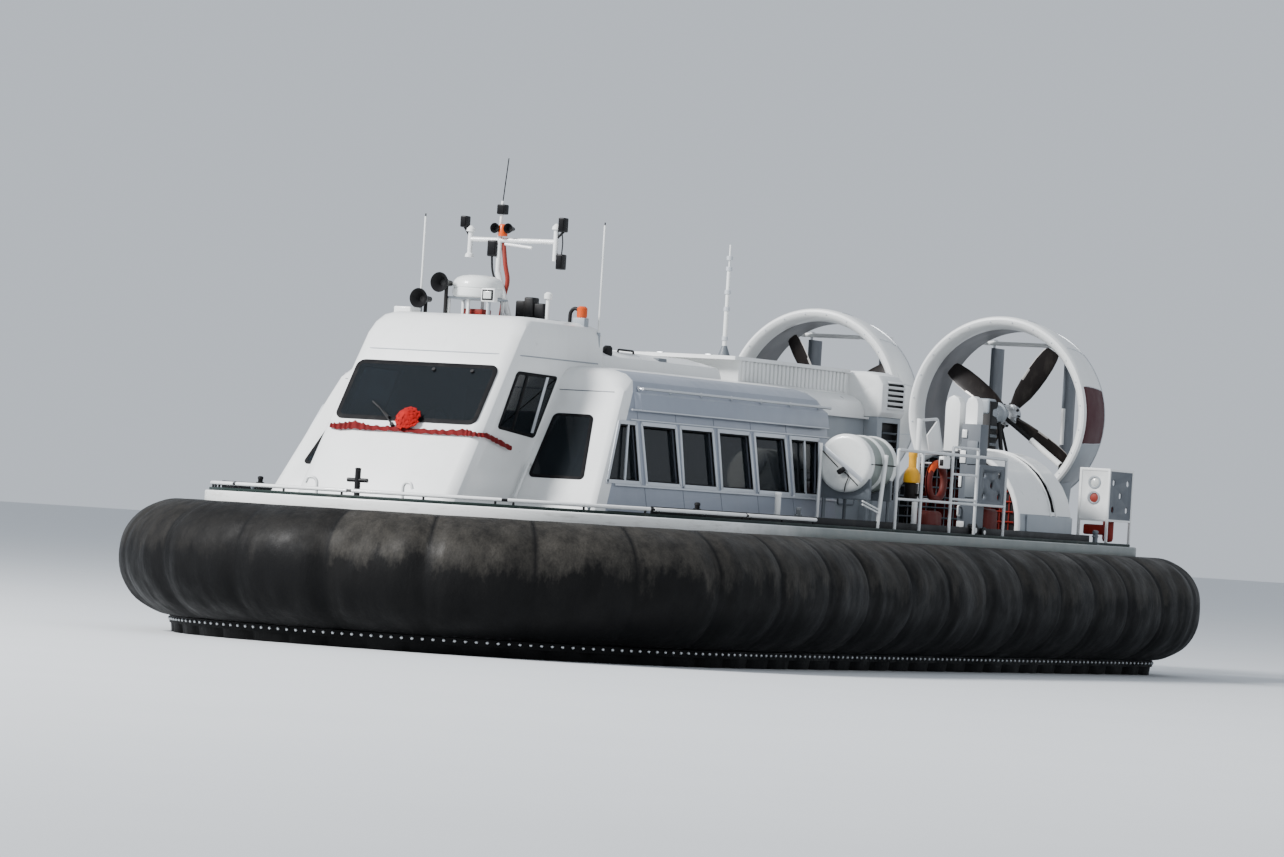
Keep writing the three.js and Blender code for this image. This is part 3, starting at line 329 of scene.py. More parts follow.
class Finish(Enum):
    """Every finish on the craft."""

    WHITE = Paint("white_topcoat", (0.80, 0.81, 0.80), 0.32, coat=0.35, stained=0.10)
    # White deck edge paint with a painted shade towards the stern.
    BAND = Band("deck_edge_paint", (0.80, 0.81, 0.79), 0.38, coat=0.2)
    # Dark non-slip deck paint, darkened partly as a painted shade at deck level.
    DECK = Paint("deck_nonslip", (0.16, 0.17, 0.18), 0.7, coat=0.0, stained=0.3, grain=420.0, depth=0.0012)
    # Silver paint, darkened further as a painted shade of the sides.
    SILVER = Paint("silver_panel", (0.30, 0.33, 0.39), 0.36, metal=0.35, coat=0.1, stained=0.12)
    POST = Paint("window_post", (0.58, 0.61, 0.65), 0.33, metal=0.3, coat=0.1, stained=0.08)
    GREY = Paint("machinery_grey", (0.12, 0.137, 0.155), 0.5, coat=0.05, stained=0.22)
    PALE_GREY = Paint("pale_grey", (0.29, 0.32, 0.35), 0.45, coat=0.1, stained=0.2)
    GELCOAT = Paint("canister_gelcoat", (0.79, 0.81, 0.79), 0.28, coat=0.5, stained=0.16)
    BLACK = Paint("black_paint", (0.010, 0.010, 0.011), 0.45, coat=0.0, stained=0.06, specular=0.2)
    TRIM = Paint("black_gasket", (0.006, 0.006, 0.007), 0.6, coat=0.0, stained=0.05, specular=0.08)
    BLADE = Paint("blade_composite", (0.010, 0.0075, 0.007), 0.45, coat=0.0, stained=0.10, specular=0.2)
    EDGE = Paint("blade_edge", (0.42, 0.40, 0.38), 0.35, metal=0.6, stained=0.3)
    STEEL = Paint("bare_steel", (0.55, 0.57, 0.59), 0.3, metal=0.9, coat=0.0, stained=0.2)
    RED = Paint("fan_red", (0.22, 0.013, 0.007), 0.5, coat=0.0, stained=0.12, specular=0.25)
    PORT_RED = Paint("port_panel_red", (0.050, 0.006, 0.010), 0.5, coat=0.0, stained=0.08, specular=0.2)
    STBD_GREEN = Paint("stbd_panel_green", (0.006, 0.040, 0.014), 0.5, coat=0.0, stained=0.08, specular=0.2)
    ORANGE = Paint("buoy_orange", (0.52, 0.055, 0.006), 0.5, coat=0.0, stained=0.15, specular=0.25)
    YELLOW = Paint("float_yellow", (0.82, 0.40, 0.012), 0.42, coat=0.1, stained=0.12, specular=0.3)
    LAMP = Paint("lamp_orange", (0.62, 0.075, 0.004), 0.25, coat=0.2, stained=0.04, specular=0.3)
    LENS = Paint("lamp_lens", (0.62, 0.64, 0.62), 0.12, coat=0.8, stained=0.04)
    DARK_GREEN = Paint("strip_green", (0.010, 0.020, 0.017), 0.5, coat=0.0, stained=0.12, specular=0.2)
    # Grey duct liner, darkened partly as a painted shade inside the duct.
    LINER = Paint("duct_liner", (0.17, 0.17, 0.18), 0.5, coat=0.05, stained=0.25)
    SLATE = Paint("slate_grey", (0.080, 0.093, 0.110), 0.45, coat=0.05, stained=0.15)
    GROOVE = Paint("canister_groove", (0.22, 0.25, 0.23), 0.45, coat=0.1, stained=0.3)
    BUOY_RED = Paint("buoy_dark_red", (0.09, 0.010, 0.007), 0.55, coat=0.0, stained=0.15, specular=0.2)
    RAIL = Paint("rail_paint", (0.60, 0.62, 0.63), 0.4, coat=0.15, stained=0.2)
    FADED_RED = Paint("faded_red", (0.26, 0.030, 0.020), 0.5, coat=0.0, stained=0.12, specular=0.25)
    RUBBER = Rubber("skirt_fabric")
    GLASS = Glass("tinted_glass")
    SEAT = Cloth("seat_cloth", (0.10, 0.13, 0.17))
    PALE_CLOTH = Cloth("head_cover_cloth", (0.70, 0.70, 0.68))
    RIBBON = Cloth("ribbon_cloth", (0.40, 0.004, 0.002), 700.0, 0.02)
    GARLAND = Cloth("garland_cloth", (0.15, 0.006, 0.007), 700.0, 0.02)

    @property
    def made(self) -> bpy.types.Material:
        """The finish's material, made on first use."""
        return bpy.data.materials.get(self.value.name) or self.value.material()


# The bench: modelling steps shared by all the pieces.


def only(*objects: Object) -> None:
    """Selects these objects alone, with the first one active."""
    bpy.ops.object.select_all(action="DESELECT")
    for obj in objects:
        obj.select_set(True)
    bpy.context.view_layer.objects.active = objects[0]


def modified(obj: Object, kind: str, **settings: object) -> Object:
    """Adds a modifier with these settings and applies it.

    Args:
        obj: the object.
        kind: Blender's name for the modifier's type.
        **settings: the modifier's own properties.

    Returns:
        The same object.
    """
    only(obj)
    modifier = obj.modifiers.new(kind.lower(), kind)
    for key, value in settings.items():
        setattr(modifier, key, value)
    bpy.ops.object.modifier_apply(modifier=modifier.name)
    return obj


def smooth(obj: Object, degrees: float = 35.0) -> Object:
    """Shades an object smooth, apart from edges sharper than an angle."""
    only(obj)
    bpy.ops.object.shade_smooth_by_angle(angle=math.radians(degrees))
    return obj


def softened(obj: Object, width: float, steps: int = 2, degrees: float = 35.0) -> Object:
    """Rounds an object's sharp edges and shades it smooth."""
    modified(
        obj, "BEVEL", width=width, segments=steps, limit_method="ANGLE",
        angle_limit=math.radians(degrees), use_clamp_overlap=True,
    )
    return smooth(obj, degrees)


def block(name: str, low: Point, high: Point, bevel: float = 0.006, steps: int = 2) -> Object:
    """A box with rounded edges between two corners."""
    bpy.ops.object.select_all(action="DESELECT")
    centre = [(a + b) / 2 for a, b in zip(low, high)]
    size = [abs(b - a) for a, b in zip(low, high)]
    bpy.ops.mesh.primitive_cube_add(size=1.0, location=centre, scale=size)
    obj = bpy.context.object
    obj.name = name
    bpy.ops.object.transform_apply(location=True, rotation=True, scale=True)
    bpy.ops.object.mode_set(mode="EDIT")
    bpy.ops.mesh.select_all(action="SELECT")
    bpy.ops.mesh.bevel(offset=min(bevel, 0.45 * min(size)), segments=steps, affect="EDGES")
    bpy.ops.object.mode_set(mode="OBJECT")
    return smooth(obj)


def turned(
    name: str, stations: Sequence[Pair], centre: Point, axis: Axis = Axis.Y,
    steps: int = 48, ring: bool = False,
) -> Object:
    """A round piece: a circle extruded and resized from station to station.

    Args:
        name: the object's name.
        stations: the radius and the place along the axis of each circle.
        centre: where the axis' zero lies.
        axis: the axis that it is turned about.
        steps: sides of the circle.
        ring: whether the last circle meets the first.

    Returns:
        The object.
    """
    bpy.ops.object.select_all(action="DESELECT")
    radius, level = stations[0]
    bpy.ops.mesh.primitive_circle_add(vertices=steps, radius=radius, location=(0, 0, level))
    obj = bpy.context.object
    obj.name = name
    bpy.ops.object.transform_apply(location=True, rotation=True, scale=True)
    bpy.ops.object.mode_set(mode="EDIT")
    bpy.ops.mesh.select_all(action="SELECT")
    if not ring:
        bpy.ops.mesh.edge_face_add()
    for new_radius, new_level in stations[1:]:
        bpy.ops.mesh.extrude_region_move(TRANSFORM_OT_translate={"value": (0, 0, new_level - level)})
        k = new_radius / radius
        bpy.ops.transform.resize(value=(k, k, 1), center_override=(0, 0, new_level))
        radius, level = new_radius, new_level
    bpy.ops.mesh.select_all(action="SELECT")
    bpy.ops.mesh.remove_doubles(threshold=1e-5)
    bpy.ops.mesh.normals_make_consistent(inside=False)
    bpy.ops.object.mode_set(mode="OBJECT")
    obj.matrix_world = Matrix.Translation(centre) @ axis.value
    only(obj)
    bpy.ops.object.transform_apply(location=True, rotation=True, scale=True)
    return smooth(obj)


def rounded_path(points: Sequence[Point], radius: float, steps: int = 5) -> list[Vector]:
    """A path whose corners are arcs of about this radius."""
    corners = [Vector(p) for p in points]
    out = [corners[0]]
    for before, corner, after in zip(corners, corners[1:], corners[2:]):
        reach = min(radius, 0.45 * (corner - before).length, 0.45 * (after - corner).length)
        start = corner + (before - corner).normalized() * reach
        end = corner + (after - corner).normalized() * reach
        for i in range(steps + 1):
            t = i / steps
            out.append(start.lerp(corner, t).lerp(corner.lerp(end, t), t))
    return [*out, corners[-1]]


def traced(name: str, path: Sequence[Point], ring: bool = False) -> Object:
    """A wire: one point extruded from place to place.

    Args:
        name: the object's name.
        path: the places.
        ring: whether the wire comes back to its start.

    Returns:
        The object, a mesh of edges.
    """
    bpy.ops.object.select_all(action="DESELECT")
    bpy.ops.mesh.primitive_plane_add(size=0.02)
    obj = bpy.context.object
    obj.name = name
    bpy.ops.object.mode_set(mode="EDIT")
    bpy.ops.mesh.select_all(action="SELECT")
    bpy.ops.mesh.merge(type="CENTER")
    bpy.ops.transform.translate(value=path[0])
    stops = [*path, path[0]] if ring else path
    for here, there in zip(stops, stops[1:]):
        step = Vector(there) - Vector(here)
        bpy.ops.mesh.extrude_region_move(TRANSFORM_OT_translate={"value": step})
    bpy.ops.mesh.select_all(action="SELECT")
    bpy.ops.mesh.remove_doubles(threshold=1e-5)
    bpy.ops.object.mode_set(mode="OBJECT")
    return obj


def tube(name: str, points: Sequence[Point], radius: float, bend: float = 0.05, sides: int = 3) -> Object:
    """A round bar along a path, with closed ends.

    Args:
        name: the object's name.
        points: the corners of the path.
        radius: the bar's radius.
        bend: the radius of the path's bends.
        sides: how round the bar is: it has 4 times this many sides.

    Returns:
        The object.
    """
    obj = traced(name, rounded_path(points, bend))
    only(obj)
    bpy.ops.object.convert(target="CURVE")
    obj = bpy.context.object
    obj.data.bevel_depth = radius
    obj.data.bevel_resolution = 2 * sides - 2
    obj.data.use_fill_caps = True
    bpy.ops.object.convert(target="MESH")
    obj = bpy.context.object
    return smooth(merged(obj))


def merged(obj: Object, distance: float = 1e-5) -> Object:
    """Welds an object's doubled points and turns its faces outwards."""
    only(obj)
    bpy.ops.object.mode_set(mode="EDIT")
    bpy.ops.mesh.select_all(action="SELECT")
    bpy.ops.mesh.remove_doubles(threshold=distance)
    bpy.ops.mesh.normals_make_consistent(inside=False)
    bpy.ops.object.mode_set(mode="OBJECT")
    return obj


def skin(name: str, loops: Sequence[Sequence[Point]], ring: bool = False, closed: bool = True) -> Object:
    """A skin of four-sided faces through rows of points.

    Args:
        name: the object's name.
        loops: the rows, each with the same number of points.
        ring: whether the last row joins the first; otherwise the end rows are capped.
        closed: whether each row closes on itself.

    Returns:
        The object.
    """
    n = len(loops[0])
    faces: list[Sequence[int]] = []
    for k in range(len(loops) if ring else len(loops) - 1):
        a, b = k * n, ((k + 1) % len(loops)) * n
        for i in range(n if closed else n - 1):
            j = (i + 1) % n
            faces.append((a + i, a + j, b + j, b + i))
    if closed and not ring:
        faces.append(tuple(range(n))[::-1])
        faces.append(tuple(range((len(loops) - 1) * n, len(loops) * n)))
    mesh = bpy.data.meshes.new(name)
    mesh.from_pydata([p for loop in loops for p in loop], [], faces)
    mesh.update()
    obj = bpy.data.objects.new(name, mesh)
    bpy.context.collection.objects.link(obj)
    return merged(obj)


def sheet_face(name: str, path: Sequence[Point], out: Point, corner: float = 0.0) -> Object:
    """One flat face with this outline, turned to face a way, its corners rounded.

    Args:
        name: the object's name.
        path: the corners in order.
        out: the way that the face must point.
        corner: the radius of its corners.

    Returns:
        The object.
    """
    obj = traced(name, path, ring=True)
    only(obj)
    bpy.ops.object.mode_set(mode="EDIT")
    bpy.ops.mesh.select_all(action="SELECT")
    bpy.ops.mesh.edge_face_add()
    if corner:
        bpy.ops.mesh.bevel(offset=corner, segments=5, affect="VERTICES")
    bpy.ops.object.mode_set(mode="OBJECT")
    if obj.data.polygons[0].normal.dot(Vector(out)) < 0:
        obj.data.flip_normals()
    return obj


def panel(
    name: str, path: Sequence[Point], out: Point, thick: float, corner: float = 0.0, bevel: float = 0.002,
) -> Object:
    """A flat panel whose back lies on an outline, and which stands out from it by its thickness."""
    obj = sheet_face(name, path, out, corner)
    modified(obj, "SOLIDIFY", thickness=thick, offset=1.0)
    return softened(obj, bevel) if bevel else smooth(obj)


def framed(
    name: str, path: Sequence[Point], out: Point, width: float, thick: float, corner: float = 0.0,
) -> Object:
    """A frame: a flat panel whose middle is open, its band as wide as asked."""
    obj = sheet_face(name, path, out, corner)
    only(obj)
    bpy.ops.object.mode_set(mode="EDIT")
    bpy.ops.mesh.select_all(action="SELECT")
    bpy.ops.mesh.inset(thickness=width, depth=0.0)
    bpy.ops.mesh.delete(type="FACE")
    bpy.ops.object.mode_set(mode="OBJECT")
    modified(obj, "SOLIDIFY", thickness=thick, offset=1.0)
    return softened(obj, 0.0025)


def bonded(name: str, path: Sequence[Point], out: Point, corner: float, band: float = 0.035) -> Object:
    """A bonded window: tinted glass with a black band round its edge.

    Args:
        name: the object's name.
        path: the corners of its outer face.
        out: the way that it faces.
        corner: the radius of its corners.
        band: the black band's breadth.

    Returns:
        The object, already painted.
    """
    obj = sheet_face(name, path, out, corner)
    only(obj)
    bpy.ops.object.mode_set(mode="EDIT")
    bpy.ops.mesh.select_all(action="SELECT")
    bpy.ops.mesh.inset(thickness=band, depth=0.0)
    bpy.ops.object.mode_set(mode="OBJECT")
    obj.data.materials.append(Finish.GLASS.made)
    obj.data.materials.append(Finish.TRIM.made)
    for polygon in obj.data.polygons:
        polygon.material_index = 0 if polygon.select else 1
    modified(obj, "SOLIDIFY", thickness=0.012, offset=-1.0)
    return softened(obj, 0.002)


def plate(
    name: str, outline: Sequence[Pair], axis: Axis, start: float, end: float,
    bevel: float = 0.003, corner: float = 0.0,
) -> Object:
    """A flat piece: an outline in two axes, carried along the third from start to end.

    Args:
        name: the object's name.
        outline: pairs of the two axes other than axis, in the order X, Y, Z.
        axis: the axis across the plate.
        start: where it begins on that axis.
        end: where it ends.
        bevel: the radius of its edges.
        corner: the radius of its outline's corners.

    Returns:
        The object.
    """
    slot = {Axis.X: 0, Axis.Y: 1, Axis.Z: 2}[axis]
    path = [tuple(p[:slot]) + (start,) + tuple(p[slot:]) for p in outline]
    out = tuple(math.copysign(1.0, end - start) if k == slot else 0.0 for k in range(3))
    return panel(name, path, out, abs(end - start), corner, bevel)


def grown(outline: Sequence[Pair], by: float) -> list[Pair]:
    """An outline moved out from its middle by about this much on each side."""
    middle = [sum(p[k] for p in outline) / len(outline) for k in (0, 1)]
    return [tuple(v + math.copysign(by, v - m) for v, m in zip(p, middle)) for p in outline]


def split(obj: Object, place: Point, normal: Point) -> Object:
    """Cuts an object's faces along a plane, all of them kept."""
    only(obj)
    bpy.ops.object.mode_set(mode="EDIT")
    bpy.ops.mesh.select_all(action="SELECT")
    bpy.ops.mesh.bisect(plane_co=place, plane_no=normal)
    bpy.ops.object.mode_set(mode="OBJECT")
    return obj


def scattered(name: str, master: Object, places: Sequence[Matrix]) -> Object:
    """Many copies of a small piece in one mesh; the piece itself is used up.

    Args:
        name: the object's name.
        master: the small piece, made round the origin.
        places: where each copy goes.

    Returns:
        The object.
    """
    shape = bmesh.new()
    for place in places:
        first = len(shape.verts)
        shape.from_mesh(master.data)
        shape.verts.ensure_lookup_table()
        bmesh.ops.transform(shape, matrix=place, verts=shape.verts[first:])
    mesh = bpy.data.meshes.new(name)
    shape.to_mesh(mesh)
    shape.free()
    for material in master.data.materials:
        mesh.materials.append(material)
    bpy.data.objects.remove(master)
    obj = bpy.data.objects.new(name, mesh)
    bpy.context.collection.objects.link(obj)
    return obj


def joined(name: str, parts: Iterable[Object]) -> Object:
    """One object from several."""
    parts = list(parts)
    only(*parts)
    if len(parts) > 1:
        bpy.ops.object.join()
    obj = bpy.context.object
    obj.name = name
    obj.data.name = name
    return obj


def copied(obj: Object, move: Point, mirror: bool = False) -> Object:
    """A copy with its own mesh, moved, or mirrored across the craft's middle.

    Args:
        obj: the object to copy.
        move: how far the copy is moved.
        mirror: whether its X is turned round first.

    Returns:
        The copy.
    """
    twin = obj.copy()
    twin.data = obj.data.copy()
    bpy.context.collection.objects.link(twin)
    change = Matrix.Translation(move)
    if mirror:
        change = change @ Matrix.Scale(-1, 4, (1, 0, 0))
    twin.data.transform(change)
    if mirror:
        twin.data.flip_normals()
    return twin


def cut(obj: Object, *tools: Object) -> Object:
    """Cuts tools out of an object and deletes them."""
    for tool in tools:
        modified(obj, "BOOLEAN", operation="DIFFERENCE", solver="EXACT", object=tool)
        bpy.data.objects.remove(tool)
    return obj


def refined(node: str, bevel: float = 0.004, steps: int = 2, degrees: float = 30.0) -> Object:
    """A clean copy of a frame node with its edges rounded.

    Args:
        node: the node's name.
        bevel: the radius of its edges.
        steps: faces across each rounded edge.
        degrees: edges sharper than this are rounded.

    Returns:
        The copy, which then stands for the node.
    """
    source = frame["nodes"][node]
    obj = bpy.data.objects.new(node + "_fine", source.data.copy())
    bpy.context.collection.objects.link(obj)
    only(obj)
    bpy.ops.object.mode_set(mode="EDIT")
    bpy.ops.mesh.select_all(action="SELECT")
    bpy.ops.mesh.remove_doubles(threshold=2e-5)
    bpy.ops.mesh.dissolve_limited(angle_limit=math.radians(0.6))
    bpy.ops.object.mode_set(mode="OBJECT")
    return softened(obj, bevel, steps, degrees)


def paint(obj: Object, finish: Finish, *rest: tuple[Finish, Callable[[Vector, Vector], bool]]) -> Object:
    """Gives an object its finish, and other finishes to the faces that a test picks.

    Args:
        obj: the object.
        finish: the finish of all other faces.
        *rest: a finish, and a test of a face's centre and normal, each.

    Returns:
        The same object.
    """
    obj.data.materials.clear()
    obj.data.materials.append(finish.made)
    for polygon in obj.data.polygons:
        polygon.material_index = 0
    for index, (other, test) in enumerate(rest, start=1):
        obj.data.materials.append(other.made)
        for polygon in obj.data.polygons:
            if test(polygon.center, polygon.normal):
                polygon.material_index = index
    return obj


def add(parts: list[Object], finish: Finish, piece: Object) -> None:
    """Paints a piece and puts it at the end of a list."""
    parts.append(paint(piece, finish))


def fitted(obj: Object, body: str, slot: str, *nodes: str) -> Object:
    """Puts a finished piece on its body and hides the nodes that it stands for."""
    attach(obj, body)
    if nodes:
        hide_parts(*nodes)
    log.info("%s on %s, %d faces", obj.name, body, len(obj.data.polygons))
    return obj


def both(obj: Object, body: str, slot: str, *nodes: str) -> tuple[Object, Object]:
    """Fits a port piece, and its mirror twin on the starboard side.

    Args:
        obj: the piece, its name ending in _port.
        body: the body that it rides on; _port in it becomes _stbd for the twin.
        slot: its material slot; not used.
        *nodes: the nodes that it stands for, turned in the same way.

    Returns:
        The two pieces.
    """
    twin = copied(obj, (0, 0, 0), mirror=True)
    twin.name = obj.name.replace("_port", "_stbd")
    twin.data.name = twin.name
    for piece, side in ((obj, Side.PORT), (twin, Side.STBD)):
        names = [text.replace("_port", f"_{side.tag}") for text in (body, *nodes)]
        fitted(piece, names[0], slot, *names[1:])
    return obj, twin


# The pieces, one class for each part of the craft.


@dataclass
class Plan:
    """The deck's outline seen from above."""

    half_beam: float = 2.88
    bow_tip: float = -6.8
    bow_length: float = 3.4
    power: float = 2.4
    stern: float = 6.8
    corner: float = 0.38

    def half(self, offset: float, bow_steps: int = 40) -> list[Pair]:
        """The port half of the outline at an offset from the deck's edge, from bow to stern."""
        beam, length = self.half_beam + offset, self.bow_length + offset
        shoulder = self.bow_tip + self.bow_length
        out: list[Pair] = []
        for i in range(bow_steps + 1):
            t = i / bow_steps * math.pi / 2
            along = math.cos(t) ** (2 / self.power) if i < bow_steps else 0.0
            out.append((beam * math.sin(t) ** (2 / self.power), shoulder - length * along))
        r = max(self.corner + offset, 0.06)
        for i in range(13):
            t = i / 12 * math.pi / 2
            out.append((beam - r + r * math.cos(t), self.stern + offset - r + r * math.sin(t)))
        return [*out, (0.0, self.stern + offset)]

    def even(self, offset: float, count: int, guide: float = 0.4) -> list[Pair]:
        """The whole outline in equal steps, matched between offsets.

        Args:
            offset: distance out from the deck's edge.
            count: points round the outline, an even number.
            guide: the offset at which the steps are equal.

        Returns:
            The points, from the bow round by port.
        """
        path, at_guide = self.half(offset), self.half(guide)
        lengths = [0.0]
        for p, q in zip(at_guide, at_guide[1:]):
            lengths.append(lengths[-1] + math.dist(p, q))
        out: list[Pair] = []
        k = 0
        for i in range(count // 2 + 1):
            s = i / (count // 2) * lengths[-1]
            while k < len(path) - 2 and lengths[k + 1] < s:
                k += 1
            t = (s - lengths[k]) / (lengths[k + 1] - lengths[k])
            out.append(tuple(Vector(path[k]).lerp(Vector(path[k + 1]), t)))
        return [*out, *[(-x, y) for x, y in out[1:-1][::-1]]]

    def length(self, offset: float) -> float:
        """The outline's whole length at an offset."""
        path = self.half(offset)
        return 2 * sum(math.dist(p, q) for p, q in zip(path, path[1:]))


def smooth_profile(points: Sequence[Pair], steps: int) -> list[Pair]:
    """A curve through points, with this many steps from each to the next."""
    out: list[Pair] = []
    for i in range(len(points) - 1):
        before = Vector(points[max(i - 1, 0)])
        here, after = Vector(points[i]), Vector(points[i + 1])
        beyond = Vector(points[min(i + 2, len(points) - 1)])
        for k in range(steps):
            t = k / steps
            a = 2 * here
            b = after - before
            c = 2 * before - 5 * here + 4 * after - beyond
            d = 3 * here - before - 3 * after + beyond
            out.append(tuple(0.5 * (a + b * t + c * t * t + d * t * t * t)))
    return [*out, tuple(points[-1])]


@dataclass
class Hull:
    """The hull with its side band and its deck."""

    deck_z: float = 1.68
    band_z: float = 1.54

    def inboard(self, p: Vector) -> bool:
        """Whether a point lies well inside the deck's edge, as in a fan well."""
        return abs(p.x) < 2.6 and -3.4 < p.y < 6.6

    def build(self) -> None:
        """Makes the hull's pieces."""
        hull = refined("hull_deck", 0.012, 3, 25)
        # top: the deck faces, their dark colour partly a painted shade.
        top = lambda p, n: n.z > 0.9 and self.deck_z - 0.02 < p.z < self.deck_z + 0.01
        edge = lambda p, n: abs(n.z) < 0.95 and self.band_z - 0.02 < p.z < self.deck_z and not self.inboard(p)
        # The deck edge's band carries a painted shade towards the stern.
        paint(hull, Finish.PALE_GREY, (Finish.BAND, edge), (Finish.DECK, top))
        fitted(hull, CRAFT, "deck_paint", "hull_deck")


@dataclass
class Skirt:
    """The inflated bag in sewn panels, and the bolted fingers under it."""

    plan: Plan
    stations: int = 960
    pitch: float = 1.03
    first_seam: float = 0.26
    lap: Pair = (2.4, 6.4)
    lap_z: float = 1.13
    dust: tuple[float, ...] = (0.4, 0.3, 0.15, 0.2, 0.9, 0.8, 1.0, 0.9, 0.75, 0.8, 0.6, 0.7)
    dust_first: int = -4
    fingers: int = 80
    finger_steps: int = 8
    bolts: int = 344
    profile: tuple[Pair, ...] = (
        (-0.059, 1.5396), (0.03, 1.541), (0.18, 1.572), (0.38, 1.552), (0.61, 1.43), (0.755, 1.24),
        (0.80, 1.02), (0.77, 0.78), (0.64, 0.565), (0.45, 0.43), (0.27, 0.373), (-0.04, 0.373),
    )
    inner: tuple[Pair, ...] = ((-0.18, 0.53), (-0.298, 0.938))

    def build(self) -> None:
        """Makes the bag, the fingers and the bolts between them."""
        self.bag()
        self.finger_row()
        self.flange()

    def outward(self, count: int) -> list[Vector]:
        """The way out from the craft at each station."""
        near, far = self.plan.even(0.4, count), self.plan.even(0.8, count)
        return [(Vector(q) - Vector(p)).normalized() for p, q in zip(near, far)]

    def along(self, index: int) -> float:
        """A station's distance along the bag from the bow's tip, port positive."""
        share = index / self.stations
        return (share if share <= 0.5 else share - 1) * self.plan.length(0.8)

    def bag(self) -> None:
        """Makes the bag, with the dust of each panel as an attribute."""
        curve = [*smooth_profile(self.profile, 4), *self.inner]
        ways = self.outward(self.stations)
        marks = [self.along(i) for i in range(self.stations)]
        loops = []
        for off, z in curve:
            row = self.plan.even(off, self.stations)
            loops.append([self.moved(p, w, s, off, z) for p, w, s in zip(row, ways, marks)])
        bag = smooth(skin("skirt_bag_fabric", loops, ring=True), 60)
        layer = bag.data.attributes.new("dust", "FLOAT", "POINT")
        for i, v in enumerate(bag.data.vertices):
            layer.data[i].value = self.panel_dust(marks[i % self.stations])
        paint(bag, Finish.RUBBER)
        fitted(bag, CRAFT, "skirt_rubber", "skirt_bag")

    def panel_dust(self, s: float) -> float:
        """How dusty the panel at a distance along the bag is, with none on a seam."""
        phase = ((s - self.first_seam) / self.pitch) % 1.0
        if min(phase, 1 - phase) * self.pitch < 0.025:
            return 0.0
        k = math.floor((s - self.first_seam) / self.pitch)
        place = k - self.dust_first
        if 0 <= place < len(self.dust):
            return self.dust[place]
        return 0.55 + 0.3 * noise.noise(Vector((1.7 * k, 0.3, 0.9)))

    def moved(self, place: Pair, way: Vector, s: float, off: float, z: float) -> Point:
        """A point of the bag, pulled in at the seams and creased as pressed fabric is.

        Args:
            place: the point on the plain bag, from above.
            way: the way out from the craft there.
            s: its distance along the bag.
            off: its distance out from the deck's edge.
            z: its height.

        Returns:
            The point moved.
        """
        free = min(max((off - 0.1) / 0.5, 0.0), 1.0)
        phase = ((s - self.first_seam) / self.pitch) % 1.0
        near = min(phase, 1 - phase) * self.pitch
        lean = s + 0.10 * math.sin(2.2 * z + 0.4 * s)
        tuck = -0.038 * math.exp(-((near / 0.13) ** 2))
        lip = 0.012 if phase * self.pitch < 0.06 else 0.0
        deeper = 0.35 + math.exp(-((near / 0.3) ** 2))
        fold = 0.016 * noise.noise(Vector((4.4 * lean, 1.6 * z, 0.0))) * deeper
        fine = 0.007 * noise.noise(Vector((11.0 * lean, 2.2 * z, 4.0)))
        swell = 0.028 * noise.noise(Vector((0.9 * s, 1.1 * z, 9.0)))
        edge = self.lap_z + 0.05 * math.sin(1.3 * s)
        lap = -0.012 if self.lap[0] < s < self.lap[1] and z < edge else 0.0
        out = free * (tuck + lip + fold + fine + swell + lap)
        return (place[0] + out * way.x, place[1] + out * way.y, z + 0.3 * out * (1 if z > 1.0 else -1))

    def finger_row(self) -> None:
        """Makes the row of fingers, each one rounded at its front."""
        count = self.fingers * self.finger_steps
        ways = self.outward(count)
        loops = []
        for off, bulge, z in (
            (-0.03, 0.0, 0.3716), (0.24, 0.018, 0.3716), (0.225, 0.03, 0.29), (0.195, 0.042, 0.14),
            (0.15, 0.045, 0.0), (0.07, 0.0, 0.0),
        ):
            row = []
            for i, (p, w) in enumerate(zip(self.plan.even(off, count), ways)):
                t = (i % self.finger_steps) / self.finger_steps
                out = bulge * (1.25 * math.sqrt(max(math.sin(math.pi * t), 0.0)) - 0.25)
                row.append((p[0] + out * w.x, p[1] + out * w.y, z))
            loops.append(row)
        fingers = smooth(skin("skirt_finger_row", loops, ring=True), 40)
        paint(fingers, Finish.RUBBER)
        fitted(fingers, CRAFT, "skirt_rubber", "skirt_fingers")

    def flange(self) -> None:
        """Makes the band that ties the fingers to the bag, with its pale bolts."""
        low, high = 0.295, 0.368
        loops = []
        for off, z in ((0.262, high), (0.272, high), (0.268, low), (0.258, low)):
            loops.append([(x, y, z) for x, y in self.plan.even(off, 320)])
        band = paint(smooth(skin("flange_band", loops, ring=True)), Finish.RUBBER)
        bolt = turned("bolt", [(0.017, 0.0), (0.015, 0.010), (0.008, 0.015)], (0, 0, 0), Axis.Z, 8)
        paint(bolt, Finish.STEEL)
        places = []
        for p, w in zip(self.plan.even(0.270, self.bolts), self.outward(self.bolts)):
            turn = Vector((w.x, w.y, 0)).to_track_quat("Z", "Y").to_matrix().to_4x4()
            places.append(Matrix.Translation((p[0], p[1], 0.338)) @ turn)
        row = scattered("flange_bolts", bolt, places)
        fitted(joined("skirt_flange", [band, row]), CRAFT, "skirt_rubber")


